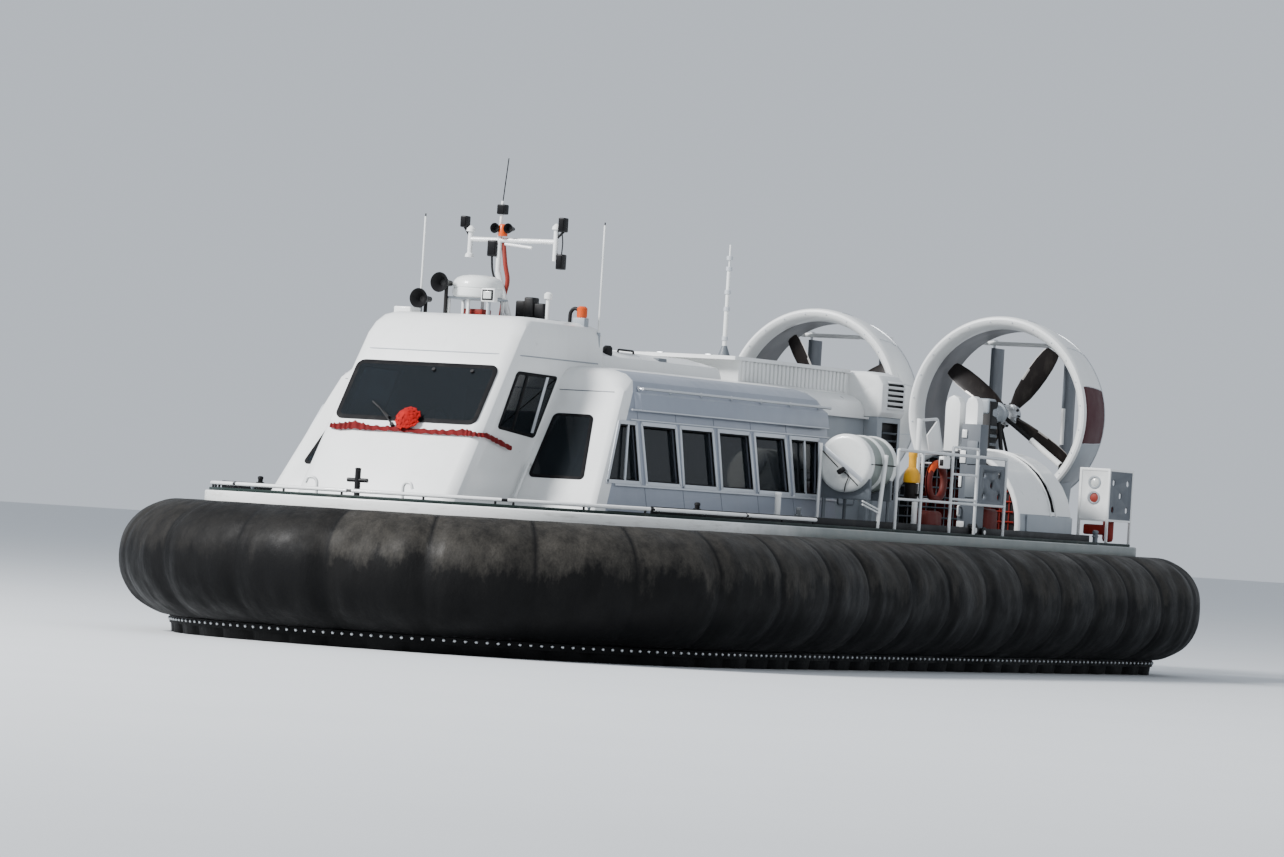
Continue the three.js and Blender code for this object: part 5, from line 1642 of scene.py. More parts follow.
@dataclass
class Propulsion:
    """The ducts, propellers, drive frames and rudders."""

    x: float = 1.217
    z: float = 3.15
    front_y: float = 5.95
    chord: float = 0.75
    throat: float = 1.0
    prop_y: float = 6.33
    tip_r: float = 0.94
    blades: int = 4
    port_turn: float = 34.0
    stbd_turn: float = 59.0
    rudder_y: float = 6.86
    rudder_dx: float = 0.48
    fin_z: Pair = (-0.31, 0.12)
    hub: tuple[Pair, ...] = (
        (0.02, -0.17), (0.045, -0.168), (0.07, -0.15), (0.09, -0.115), (0.118, -0.06), (0.12, 0.0), (0.12, 0.09),
        (0.10, 0.11), (0.07, 0.13), (0.02, 0.13),
    )
    ring: tuple[Pair, ...] = (
        (1.0, 0.75), (1.0, 0.5), (1.0, 0.18), (1.012, 0.11), (1.045, 0.04), (1.08, 0.008), (1.105, 0.0),
        (1.13, 0.010), (1.147, 0.045), (1.15, 0.10), (1.147, 0.2), (1.128, 0.42), (1.10, 0.58), (1.07, 0.75),
    )

    def build(self) -> None:
        """Makes both sides' pieces."""
        self.ducts()
        for side, turn in ((Side.PORT, self.port_turn), (Side.STBD, self.stbd_turn)):
            self.propeller(side, turn)
        self.drive()
        for tag, dx in (("inboard", -self.rudder_dx), ("outboard", self.rudder_dx)):
            self.rudder(tag, dx)

    def ducts(self) -> None:
        """Makes the ducts with their lips, side panels, pedestals and rudder bars."""
        centre = (self.x, self.front_y, self.z)
        ring = turned("duct_port", self.ring, centre, Axis.Y, 96, ring=True)

        # inner: the duct's inside, its liner colour partly a painted shade.
        def inner(p: Vector, n: Vector) -> bool:
            reach = math.hypot(p.x - self.x, p.z - self.z)
            return reach < 1.006 and p.y > self.front_y + 0.15

        def outer(p: Vector, low: float, high: float) -> bool:
            turn = math.degrees(math.atan2(p.z - self.z, p.x - self.x))
            reach = math.hypot(p.x - self.x, p.z - self.z)
            return low < turn < high and reach > 1.06 and p.y > self.front_y + 0.06

        # The outer shell below the red panel, from -80 to -15 degrees, is pale grey as a painted shade.
        paint(
            ring, Finish.WHITE, (Finish.LINER, inner), (Finish.PORT_RED, lambda p, n: outer(p, -15, 19)),
            (Finish.PALE_GREY, lambda p, n: outer(p, -80, -15)),
        )
        parts = [ring]
        for turn in (-15, 19, 45, 75, 105, 135, 165, 195, 225, 255, 285):
            a = math.radians(turn)
            path = []
            for r, y in ((1.152, 0.10), (1.149, 0.2), (1.13, 0.42), (1.072, 0.75)):
                path.append((self.x + r * math.cos(a), self.front_y + y, self.z + r * math.sin(a)))
            parts.append(paint(tube("duct_seam", path, 0.004, 0.2, 1), Finish.POST))
        edge = [(1.066, 0.735), (1.078, 0.737), (1.078, 0.752), (1.066, 0.752)]
        add(parts, Finish.STEEL, turned("edge", edge, centre, steps=96, ring=True))
        across = [0.9 - 0.15 * i for i in range(1, 12)]
        top = [(dx, self.z - math.sqrt(1.055**2 - dx**2)) for dx in across]
        outline = [(-0.8, 1.6804), (0.8, 1.6804), (0.85, 2.42), *top, (-0.85, 2.42)]
        path = [(self.x + dx, self.front_y + 0.08, z) for dx, z in outline]
        parts.append(paint(panel("pedestal", path, (0, 1, 0), 0.34, bevel=0.012), Finish.PALE_GREY))
        for s in (-1, 1):
            z = self.z + s * 0.855
            low = (self.x - 0.6, self.rudder_y - 0.06, z - 0.025)
            high = (self.x + 0.6, self.rudder_y + 0.03, z + 0.025)
            add(parts, Finish.WHITE, block("bar", low, high, 0.008))
            for dx in (-0.58, 0.58):
                low = (self.x + dx - 0.025, self.front_y + self.chord - 0.03, z - 0.025)
                high = (self.x + dx + 0.025, self.rudder_y - 0.05, z + 0.025)
                parts.append(paint(block("arm", low, high, 0.006), Finish.WHITE))
            for dx in (-self.rudder_dx, self.rudder_dx):
                spot = (self.x + dx, self.rudder_y, z + s * 0.026)
                cap = turned("bearing", [(0.04, -0.004), (0.04, 0.012), (0.028, 0.02)], spot, Axis.Z, 20)
                parts.append(paint(cap, Finish.STEEL))
        for i in range(24):
            a = math.radians(i * 15 + 7.5)
            spot = (self.x + 1.085 * math.cos(a), self.front_y + 0.003, self.z + 1.085 * math.sin(a))
            rivet = turned("rivet", [(0.009, 0.004), (0.009, -0.001), (0.005, -0.005)], spot, Axis.Y, 8)
            parts.append(paint(rivet, Finish.POST))
        port, stbd = both(joined("duct_ring_port", parts), CRAFT, "white_paint", "duct_port")
        for place in stbd.material_slots:
            if place.material == Finish.PORT_RED.made:
                place.material = Finish.STBD_GREEN.made

    def blade(self) -> Object:
        """One blade, shaped from a circle drawn up along the span, then twisted."""
        stations = ((0.10, 0.055, 0.050), (0.16, 0.075, 0.040), (0.30, 0.112, 0.022), (0.45, 0.124, 0.016),
                    (0.60, 0.126, 0.0125), (0.75, 0.120, 0.010), (0.87, 0.104, 0.0075), (0.925, 0.088, 0.006),
                    (self.tip_r, 0.055, 0.004))
        bpy.ops.object.select_all(action="DESELECT")
        bpy.ops.mesh.primitive_circle_add(vertices=20, radius=1.0, location=(0, 0, stations[0][0]))
        obj = bpy.context.object
        bpy.ops.object.transform_apply(location=True, rotation=True, scale=True)
        bpy.ops.object.mode_set(mode="EDIT")
        bpy.ops.mesh.select_all(action="SELECT")
        bpy.ops.mesh.edge_face_add()
        level, wide, thick = stations[0]
        bpy.ops.transform.resize(value=(wide, thick, 1), center_override=(0, 0, level))
        for new_level, new_wide, new_thick in stations[1:]:
            bpy.ops.mesh.extrude_region_move(TRANSFORM_OT_translate={"value": (0, 0, new_level - level)})
            k = (new_wide / wide, new_thick / thick, 1)
            bpy.ops.transform.resize(value=k, center_override=(0, 0, new_level))
            level, wide, thick = new_level, new_wide, new_thick
        bpy.ops.mesh.select_all(action="SELECT")
        bpy.ops.mesh.normals_make_consistent(inside=False)
        bpy.ops.object.mode_set(mode="OBJECT")
        paint(obj, Finish.BLADE, (Finish.EDGE, lambda p, n: p.z > 0.4 and p.x < -0.86 * self.half_chord(p.z)))
        for v in obj.data.vertices:
            share = (v.co.z - 0.10) / (self.tip_r - 0.10)
            turn = math.radians(52 - 32 * share**0.7)
            v.co = Matrix.Rotation(turn, 3, "Z") @ v.co
        return smooth(obj, 50)

    @staticmethod
    def half_chord(z: float) -> float:
        """About half the blade's breadth at a radius."""
        return 0.126 - 0.5 * max(0.0, z - 0.72) ** 1.7

    def propeller(self, side: Side, turn: float) -> None:
        """One propeller: hub, blade roots and blades, at its place."""
        blade = self.blade()
        parts = [paint(turned("hub", self.hub, (0, 0, 0), Axis.Y, 36), Finish.STEEL)]
        root = turned("root", [(0.062, 0.06), (0.062, 0.135), (0.05, 0.15)], (0, 0, 0), Axis.Z, 24)
        parts.append(paint(root, Finish.STEEL))
        clamp = block("clamp", (-0.075, -0.02, 0.10), (0.075, 0.02, 0.13), 0.008)
        parts.append(paint(clamp, Finish.BLACK))
        spun = []
        for i in range(self.blades):
            for piece in (blade, parts[1], parts[2]):
                twin = copied(piece, (0, 0, 0))
                twin.data.transform(Matrix.Rotation(2 * math.pi * i / self.blades, 4, "Y"))
                spun.append(twin)
        for piece in (blade, parts[1], parts[2]):
            bpy.data.objects.remove(piece)
        for i in range(8):
            a = 2 * math.pi * i / 8
            spot = (0.055 * math.cos(a), -0.155, 0.055 * math.sin(a))
            nut = turned("nut", [(0.011, 0.01), (0.011, -0.008), (0.007, -0.012)], spot, Axis.Y, 6)
            add(spun, Finish.STEEL, nut)
        name = f"propeller_{side.tag}"
        whole = joined(name + "_blades", [parts[0], *spun])
        sign = 1 if side is Side.PORT else -1
        whole.data.transform(Matrix.Rotation(math.radians(sign * turn), 4, "Y"))
        if side is Side.STBD:
            whole.data.transform(Matrix.Scale(-1, 4, (1, 0, 0)))
            whole.data.flip_normals()
        whole.data.transform(Matrix.Translation((side.x(self.x), self.prop_y, self.z)))
        fitted(whole, name, "blade_black", name)

    def drive(self) -> None:
        """Makes the shaft housings and their black frames."""
        frame_piece = paint(refined("drive_frame_port", 0.010, 2, 40), Finish.BLACK)
        front = self.prop_y - 0.1704
        profile = [
            (0.05, -0.60), (0.11, -0.595), (0.135, -0.56), (0.14, -0.46), (0.15, -0.45), (0.15, -0.42),
            (0.125, -0.40), (0.115, -0.22), (0.135, -0.20), (0.135, -0.16), (0.10, -0.14), (0.09, -0.02),
        ]
        parts = [frame_piece]
        add(parts, Finish.PALE_GREY, turned("gearbox", profile, (self.x, front, self.z), Axis.Y, 36))
        for i in range(10):
            a = 2 * math.pi * i / 10
            spot = (self.x + 0.143 * math.cos(a), front - 0.45, self.z + 0.143 * math.sin(a))
            add(parts, Finish.STEEL, turned("bolt", [(0.009, 0.01), (0.009, -0.012)], spot, Axis.Y, 6))
        low = (self.x - 0.16, front - 0.66, self.z - 0.02)
        high = (self.x + 0.12, front - 0.44, self.z + 0.16)
        add(parts, Finish.PALE_GREY, block("head", low, high, 0.03, 3))
        for s in (-1, 1):
            ends = [(self.x + s * 0.16, front - 0.10, 2.60), (self.x + s * 0.02, front - 0.10, 3.05)]
            add(parts, Finish.BLACK, tube("brace", ends, 0.018, sides=2))
            for k in range(4):
                z = 2.66 + 0.1 * k
                low = (self.x + s * 0.132 - 0.006, front - 0.62, z)
                high = (self.x + s * 0.132 + 0.012, front - 0.45, z + 0.035)
                parts.append(paint(block("fin", low, high, 0.003), Finish.GREY))
        for turn in (-35, 215):
            a = math.radians(turn)
            ends = [(self.x + r * math.cos(a), front - 0.06, self.z + r * math.sin(a)) for r in (0.50, 0.975)]
            parts.append(paint(tube("stay_sleeve", ends, 0.036, sides=3), Finish.WHITE))
        both(joined("drive_housing_port", parts), CRAFT, "black_metal", "drive_frame_port")

    def rudder(self, tag: str, dx: float) -> None:
        """Makes one pair of rudders, port and starboard."""
        half = [(0, -0.06), (0.014, -0.053), (0.024, -0.035), (0.028, -0.012), (0.028, 0.03), (0.022, 0.10),
                (0.014, 0.19), (0.006, 0.285)]
        outline = half + [(-x, y) for x, y in half[:0:-1]]
        place = (self.x + dx, self.rudder_y)
        path = [(place[0] + x, place[1] + y, self.z - 0.8) for x, y in outline]
        foil = panel("foil", path, (0, 0, 1), 1.6, bevel=0.003)
        low, high = (self.z + level for level in self.fin_z)
        for z in (low, high):
            split(foil, (0, 0, z), (0, 0, 1))
        split(foil, (0, place[1] - 0.030, 0), (0, 1, 0))
        paint(
            foil, Finish.SLATE,
            (Finish.WHITE, lambda p, n: tag == "outboard" and p.y < place[1] - 0.030 and low < p.z < high),
        )
        shaft = [(*place, self.z - 0.8295), (*place, self.z + 0.8295)]
        parts = [foil, paint(tube("shaft", shaft, 0.016), Finish.STEEL)]
        for z in (-0.36, 0.0, 0.36):
            near = (place[0] - 0.030, place[1] - 0.02, self.z + z - 0.004)
            far = (place[0] + 0.030, place[1] + 0.05, self.z + z + 0.004)
            add(parts, Finish.GREY, block("rib", near, far, 0.002))
        name = f"rudder_{tag}_port"
        both(joined(f"rudder_{tag}_foil_port", parts), name, "grey_paint", name)


@dataclass
class LiftFans:
    """The arched lift fan casings, their grilles and rotors."""

    x: float = 1.8
    z: float = 1.86
    front_y: float = 3.70
    radius: float = 0.83
    # base_z: the top of the painted shade on each casing's lower wall.
    base_z: float = 1.98
    deck_z: float = 1.6804
    red_x: float = 2.12

    def arch(self, radius: float, y: float, low: float, steps: int = 20) -> list[Point]:
        """An arch's line at a radius, its feet at a height."""
        turns = [math.pi * i / steps for i in range(steps + 1)]
        arc = [(self.x + radius * math.cos(t), y, self.z + radius * math.sin(t)) for t in turns]
        return [(self.x + radius, y, low), *arc, (self.x - radius, y, low)]

    def build(self) -> None:
        """Makes the casings, with a painted shade on their lower walls and inside their arches, and the grilles
        and rotors.
        """
        shell = refined("fan_casing_port", 0.008, 2, 25)
        split(shell, (0, 0, self.base_z), (0, 0, 1))
        behind = self.front_y + 0.02
        reach = lambda p, low: math.hypot(p.x - self.x, max(p.z - self.z, low))
        slot = lambda p, n: 4.563 < p.y < 4.687 and reach(p, -self.z) < 0.8295 and p.z > 2.02
        front = lambda p, n: p.y < self.front_y + 0.004 and n.y < -0.9
        # base: the lower wall, pale grey as a painted shade.
        base = lambda p, n: p.z < self.base_z and p.y > behind
        # inside and front: the arch's inner faces and front plate, black as a painted shade of the open inlet
        # behind the grille.
        inside = lambda p, n: reach(p, 0) < 0.79 and p.y > behind
        paint(
            shell, Finish.WHITE, (Finish.PALE_GREY, base), (Finish.BLACK, inside), (Finish.BLACK, front),
            (Finish.BLACK, slot),
        )
        parts = [shell]
        lip = tube("lip", self.arch(self.radius - 0.028, self.front_y - 0.005, self.deck_z), 0.034, 0.02, 4)
        add(parts, Finish.WHITE, lip)
        for y in (4.555, 4.70):
            rim = tube("slot_rim", self.arch(self.radius + 0.006, y, 2.03)[1:-1], 0.012, 0.02, 2)
            add(parts, Finish.WHITE, rim)
        low, high = (self.x - 0.8, self.front_y - 0.04, self.deck_z), (self.x + 0.8, behind, 1.73)
        sill = split(block("sill", low, high, 0.008), (self.red_x, 0, 0), (1, 0, 0))
        parts.append(paint(sill, Finish.SLATE, (Finish.ORANGE, lambda p, n: p.x > self.red_x)))
        # The side sheet below the arch: pale grey, a painted shade of the lower wall.
        corners = ((3.86, self.deck_z), (5.12, self.deck_z), (5.12, 1.97), (3.86, 1.97))
        plinth = [(2.631, y, z) for y, z in corners]
        add(parts, Finish.PALE_GREY, panel("plinth", plinth, (1, 0, 0), 0.02, bevel=0.006))
        both(joined("fan_arch_port", parts), CRAFT, "white_paint", "fan_casing_port")
        self.grille()
        rotor = paint(refined("lift_fan_port", 0.003, 2, 35), Finish.RED)
        both(rotor, "lift_fan_port", "red_paint", "lift_fan_port")

    def grille(self) -> None:
        """Makes the bars across each casing's open front, red towards the side."""
        y, reach = self.front_y - 0.012, self.radius - 0.07
        parts = []
        for i in range(-6, 7):
            x = 0.115 * i
            top = self.z + math.sqrt(reach**2 - x**2)
            parts.append(tube("bar", [(self.x + x, y, 1.72), (self.x + x, y, top)], 0.008, sides=1))
        for i in range(8):
            z = 1.76 + 0.115 * i
            half = math.sqrt(reach**2 - max(z - self.z, 0.0) ** 2)
            ends = [(self.x - half, y - 0.012, z), (self.x + half, y - 0.012, z)]
            parts.append(tube("bar", ends, 0.010, sides=1))
        grille = split(joined("fan_grille_port", parts), (self.red_x, 0, 0), (1, 0, 0))
        both(paint(grille, Finish.GREY, (Finish.RED, lambda p, n: p.x > self.red_x)), CRAFT, "red_paint")


@dataclass
class DeckGear:
    """Canisters, side rails, lockers, guards, floats and the small deck fittings."""

    deck_z: float = 1.6804
    raft: tuple[float, float, float, float, float] = (2.32, 2.39, 0.316, -0.30, 0.44)
    leg_x: float = 2.665
    rail_x: float = 2.74
    rail_top: float = 2.57
    rail_mid: float = 2.04
    rail_y: Pair = (0.18, 2.997)
    mid_post: float = 0.80
    ladder: Pair = (1.57, 2.226)
    rungs: tuple[float, ...] = (2.083, 2.358, 2.655)
    panel_y: Pair = (2.305, 2.985)
    panel_z: Pair = (2.044, 2.49)
    locker_top: float = 2.938

    def build(self) -> None:
        """Makes all the deck gear."""
        self.canister()
        self.cradle()
        self.side_rail()
        self.locker()
        self.guard()
        self.floats()
        self.small_fittings()
        for side in ("port", "stbd"):
            skid = paint(refined(f"landing_skid_{side}", 0.008), Finish.GREY)
            fitted(skid, CRAFT, "grey_paint", f"landing_skid_{side}")

    def canister(self) -> None:
        """Makes the liferaft canisters: ribbed shell, straps and release unit."""
        x, z, r, front, aft = self.raft
        length = aft - front
        profile = [(0.02, 0.012), (0.20, 0.006), (r - 0.06, 0.0), (r - 0.035, 0.003)]
        profile += [(r - 0.012, 0.016), (r - 0.002, 0.03)]
        for centre in (0.10, 0.38, 0.665):
            for d, lift in ((-0.045, -0.014), (-0.025, -0.001), (0.025, -0.001), (0.045, -0.014)):
                profile.append((r + lift, centre + d))
        profile += [(r - 0.016, length - 0.02), (r - 0.05, length), (0.02, length)]
        shell = turned("shell", profile, (x, front, z), Axis.Y, 64)
        groove = lambda p, n: front + 0.05 < p.y < aft - 0.03 and math.hypot(p.x - x, p.z - z) < r - 0.009
        parts = [paint(shell, Finish.GELCOAT, (Finish.GROOVE, groove))]
        for s in (-1, 1):
            line = [(x + s * (r - 0.004), front + 0.05, z), (x + s * (r - 0.004), aft - 0.05, z)]
            parts.append(paint(tube("seam", line, 0.006, sides=1), Finish.TRIM))
        y = front - 0.004
        corners = ((-0.275, 0.145), (-0.245, 0.185), (0.255, -0.165), (0.225, -0.205))
        strap = [(x + dx, y, z + dz) for dx, dz in corners]
        add(parts, Finish.POST, panel("strap", strap, (0, -1, 0), 0.004))
        unit = block("release_unit", (-0.045, -0.05, -0.026), (0.045, -0.002, 0.026), 0.012, 3)
        unit.data.transform(Matrix.Translation((x - 0.01, y, z - 0.085)) @ Matrix.Rotation(-0.6, 4, "Y"))
        parts.append(paint(unit, Finish.BLACK))
        under = y - 0.008
        for line in (
            [(x - 0.27, under, z + 0.13), (x - 0.06, under, z - 0.05)],
            [(x + 0.03, under, z - 0.10), (x + 0.19, under, z - 0.235)],
            [(x + 0.02, under, z - 0.10), (x + 0.078, under, z - 0.139), (x + 0.04, under, z - 0.24),
             (x + 0.034, under, z - 0.31)],
        ):
            parts.append(paint(tube("lashing", line, 0.006, 0.03, 2), Finish.BLACK))
        both(joined("liferaft_shell_port", parts), CRAFT, "white_gelcoat", "liferaft_canister_port")

    def cradle(self) -> None:
        """Makes the canister cradles with their tall legs and the double bar at the outer leg's knee."""
        d, outer = self.deck_z, self.leg_x
        saddle = lambda p, n: p.z > d + 0.06 and p.x < outer - 0.03 and p.y > -0.29
        parts = [paint(refined("raft_cradle_port", 0.005), Finish.WHITE, (Finish.GREY, saddle))]
        white = [tube("leg", [(outer, -0.10, d), (outer, -0.10, 1.72), (outer, 0.03, 2.50)], 0.024, 0.04)]
        for lift in (0.0, 0.035):
            tie = [(outer - 0.02, -0.45, 1.955 + lift), (outer, -0.06, 1.87 + lift)]
            white.append(tube("tie", tie, 0.010))
        for x, y in ((outer, -0.10), (2.06, -0.34), (2.06, 0.32), (2.58, 0.32)):
            white.append(turned("foot", [(0.045, 0), (0.045, 0.008), (0.03, 0.012)], (x, y, d), Axis.Z, 20))
        parts += [paint(piece, Finish.WHITE) for piece in white]
        both(joined("raft_cradle_tubes_port", parts), CRAFT, "white_paint", "raft_cradle_port")

    def side_rail(self) -> None:
        """Makes the side rail, boarding ladder, holed panel and tall post."""
        x, d = self.rail_x, self.deck_z
        y0, y1 = self.rail_y
        parts = []
        for z, radius in ((self.rail_top, 0.018), (self.rail_mid, 0.015)):
            parts.append(paint(tube("rail", [(x, y0, z), (x, y1, z)], radius), Finish.RAIL))
        heights = {y0: self.rail_top, self.mid_post: self.rail_top, y1: self.rail_top}
        heights |= {y: self.rungs[-1] for y in self.ladder}
        for y, top in heights.items():
            parts.append(paint(tube("post", [(x, y, d), (x, y, top)], 0.018), Finish.RAIL))
            foot = turned("foot", [(0.04, 0), (0.04, 0.008), (0.026, 0.014)], (x, y, d), Axis.Z, 20)
            parts.append(paint(foot, Finish.RAIL))
        for z in self.rungs:
            rung = tube("rung", [(x, self.ladder[0], z), (x, self.ladder[1], z)], 0.013)
            parts.append(paint(rung, Finish.RAIL))
        (a, b), (low, high) = self.panel_y, self.panel_z
        outline = [(a, low), (b, low), (b, high), (a, high)]
        plate_piece = plate("guard_panel", outline, Axis.X, x - 0.030, x - 0.004, 0.004, 0.03)
        tools = []
        for p, q in ((0.2, 0.75), (0.8, 0.75), (0.5, 0.5), (0.2, 0.22), (0.8, 0.22)):
            spot = (x - 0.02, a + p * (b - a), low + q * (high - low))
            tools.append(turned("hole", [(0.042, -0.05), (0.042, 0.05)], spot, Axis.X, 24))
        parts.append(paint(cut(plate_piece, *tools), Finish.SLATE))
        post_x, post_y, top = 2.48, 1.21, 2.94
        post = [(post_x, post_y, d), (post_x, post_y, top)]
        add(parts, Finish.WHITE, tube("tall_post", post, 0.032, sides=5))
        loop = [(post_x, post_y, 2.92), (post_x, 1.66, 2.955), (post_x, 1.83, 2.60)]
        add(parts, Finish.RAIL, tube("loop", loop, 0.016, 0.03))
        stay = [(post_x, post_y, 2.55), (x, post_y, self.rail_top)]
        add(parts, Finish.RAIL, tube("stay", stay, 0.014))
        wedge = [(1.413, 2.766), (1.495, 2.592), (1.819, 2.605), (1.673, 2.947)]
        parts.append(paint(plate("gusset", wedge, Axis.X, post_x - 0.008, post_x + 0.008), Finish.WHITE))
        both(joined("side_rail_tubes_port", parts), CRAFT, "white_paint", "side_rail_port")

    def locker(self) -> None:
        """Makes the locker column with its white cowls, its plates, a handle and two reels."""
        column = refined("locker_port", 0.012, 3)
        top = self.locker_top + 0.001
        split(column, (0, 0, top), (0, 0, 1))
        cowl = lambda p, n: p.z > top or p.x < 2.40
        parts = [paint(column, Finish.SLATE, (Finish.WHITE, cowl))]
        face = 2.45
        for x, z, wide, tall, finish in (
            (2.460, 2.826, 0.06, 0.09, Finish.WHITE), (2.455, 2.569, 0.07, 0.14, Finish.WHITE),
            (2.438, 2.295, 0.035, 0.13, Finish.WHITE), (2.470, 1.815, 0.09, 0.07, Finish.WHITE),
            (2.565, 2.62, 0.13, 0.26, Finish.GREY), (2.565, 2.25, 0.13, 0.26, Finish.GREY),
            (2.54, 1.74, 0.20, 0.05, Finish.BLACK),
        ):
            low = (x - wide / 2, face - 0.016, z - tall / 2)
            high = (x + wide / 2, face + 0.002, z + tall / 2)
            add(parts, finish, block("plate", low, high, 0.005))
        line = ((face, 1.91), (face - 0.05, 1.91), (face - 0.05, 2.02), (face, 2.02))
        add(parts, Finish.WHITE, tube("handle", [(2.45, y, z) for y, z in line], 0.010, 0.03))
        for y, r in ((2.36, 0.075), (2.60, 0.06)):
            spot = (2.66, y, self.deck_z + r)
            reel = [(r, -0.04), (r, -0.025), (r * 0.6, -0.02), (r * 0.6, 0.02), (r, 0.025), (r, 0.04)]
            add(parts, Finish.BLACK, turned("reel", reel, spot, Axis.X, 28))
            add(parts, Finish.WHITE, turned("hub", [(r * 0.4, 0.0), (r * 0.4, 0.046)], spot, Axis.X, 20))
        both(joined("locker_column_port", parts), CRAFT, "grey_paint", "locker_port")

    def guard(self) -> None:
        """Makes the aft guards with their ringed holes and the gear behind."""
        guard = refined("aft_guard_port", 0.005)
        side = lambda p, n: 2.730 < p.x < 2.7495 and p.y > 5.905 and 1.972 < p.z < 2.558
        parts = [paint(guard, Finish.WHITE, (Finish.SLATE, side))]
        rim = [(0.06, 0.006), (0.075, 0.004), (0.078, -0.008), (0.06, -0.010)]
        lens = [(0.055, 0.04), (0.055, 0.0), (0.035, -0.012)]
        for z, finish in ((2.23, Finish.FADED_RED), (2.41, Finish.LENS)):
            add(parts, Finish.PALE_GREY, turned("rim", rim, (2.56, 5.898, z), Axis.Y, 32, ring=True))
            add(parts, finish, turned("lens", lens, (2.56, 5.91, z), Axis.Y, 28))
        bottle = [(0.02, 0), (0.055, 0.01), (0.065, 0.04), (0.065, 0.38), (0.04, 0.43), (0.02, 0.46)]
        add(parts, Finish.RED, turned("bottle", bottle, (2.60, 6.28, self.deck_z + 0.04), Axis.Z, 24))
        add(parts, Finish.RED, block("red_box", (2.43, 5.93, 1.80), (2.70, 6.05, 1.92), 0.02, 3))
        both(joined("aft_guard_frame_port", parts), CRAFT, "white_paint", "aft_guard_port")

    def floats(self) -> None:
        """Makes the ring buoy, the float light with its holder and the red cases."""
        parts = []
        x, y, z = 2.60, 1.47, 2.26
        steps = [2 * math.pi * i / 14 for i in range(14)]
        section = [(0.195 + 0.045 * math.cos(t), 0.04 * math.sin(t)) for t in steps]
        ring = turned("buoy", section, (x, y, z), Axis.X, 44, ring=True)
        orange = lambda p, n: p.z > z + 0.11 and p.y < y + 0.05
        parts.append(paint(ring, Finish.BUOY_RED, (Finish.ORANGE, orange)))
        for level in (z + 0.20, z - 0.20):
            bracket = [(2.48, 1.21, level), (2.48, 1.40, level), (x, 1.47, level)]
            add(parts, Finish.RAIL, tube("bracket", bracket, 0.012, 0.03))
        body = [
            (0.02, 0), (0.085, 0.006), (0.095, 0.03), (0.090, 0.09), (0.070, 0.14), (0.044, 0.17),
            (0.044, 0.28), (0.050, 0.29), (0.050, 0.33), (0.02, 0.355),
        ]
        add(parts, Finish.YELLOW, turned("float", body, (2.60, 0.84, 2.225), Axis.Z, 32))
        holder = [(0.02, 0), (0.06, 0.01), (0.075, 0.06), (0.075, 0.20), (0.03, 0.21)]
        add(parts, Finish.BLADE, turned("float_holder", holder, (2.60, 0.84, 2.02), Axis.Z, 28))
        add(parts, Finish.BLACK, tube("holder_arm", [(2.62, 0.84, 2.10), (2.74, 0.80, 2.10)], 0.014))
        add(parts, Finish.WHITE, block("lamp_unit", (2.655, 1.38, 2.41), (2.725, 1.55, 2.545), 0.015, 3))
        add(parts, Finish.BLACK, block("lamp_face", (2.67, 1.374, 2.44), (2.715, 1.384, 2.51), 0.008))
        add(parts, Finish.RAIL, tube("lamp_arm", [(2.69, 1.50, 2.53), (2.72, 1.57, 2.57)], 0.010))
        d = self.deck_z
        for low, high in (((2.46, 1.24, d), (2.64, 1.62, 1.94)), ((2.44, 2.70, d), (2.66, 3.05, 2.01))):
            add(parts, Finish.BUOY_RED, block("red_case", low, high, 0.05, 4))
        both(joined("rail_floats_port", parts), CRAFT, "red_paint")

    def small_fittings(self) -> None:
        """Makes the bow post, the fairleads, the bollards and the deck hatches."""
        d = self.deck_z
        parts = []
        post = [(0.05, 0), (0.05, 0.012), (0.03, 0.02), (0.03, 0.29), (0.034, 0.30), (0.02, 0.31)]
        add(parts, Finish.BLACK, turned("bow_post", post, (0, -6.59, d), Axis.Z, 24))
        arm = [(-0.115, -6.59, 1.865), (0.115, -6.59, 1.865)]
        add(parts, Finish.BLACK, tube("bow_arm", arm, 0.022, sides=4))
        hook = (
            (0.50, -6.54, d), (0.50, -6.54, 1.83), (0.53, -6.55, 1.87), (0.60, -6.56, 1.87),
            (0.62, -6.56, 1.81),
        )
        for s in (-1, 1):
            add(parts, Finish.WHITE, tube("fairlead", [(s * x, y, z) for x, y, z in hook], 0.016, 0.03))
            low, high = (s * 0.50 - 0.05, -6.59, d), (s * 0.50 + 0.05, -6.49, d + 0.03)
            add(parts, Finish.BLACK, block("fairlead_base", low, high, 0.008))
            for x, y, tall, radius, finish in (
                (2.60, -4.20, 0.17, 0.026, Finish.BLACK), (2.60, -1.885, 0.19, 0.026, Finish.GREY),
                (2.80, 5.46, 0.16, 0.030, Finish.GREY), (1.98, -5.36, 0.07, 0.014, Finish.GREY),
                (2.62, 2.05, 0.10, 0.03, Finish.BLACK), (2.50, -2.18, 0.335, 0.032, Finish.WHITE),
            ):
                rings = [(radius + 0.02, 0), (radius + 0.02, 0.01), (radius, 0.016), (radius, tall - 0.03),
                         (radius + 0.006, tall - 0.02), (radius + 0.004, tall), (radius * 0.5, tall + 0.008)]
                parts.append(paint(turned("bollard", rings, (s * x, y, d), Axis.Z, 20), finish))
                if finish is not Finish.WHITE and tall > 0.1:
                    arm = [(s * x, y - 0.07, d + 0.6 * tall), (s * x, y + 0.07, d + 0.6 * tall)]
                    parts.append(paint(tube("bollard_arm", arm, 0.012), finish))
        for x, y in ((0.0, 3.9), (0.0, 5.0)):
            hatch = block("deck_hatch", (x - 0.35, y - 0.35, d), (x + 0.35, y + 0.35, d + 0.035), 0.012, 3)
            parts.append(paint(hatch, Finish.PALE_GREY))
        fitted(joined("deck_fittings", parts), CRAFT, "black_metal")


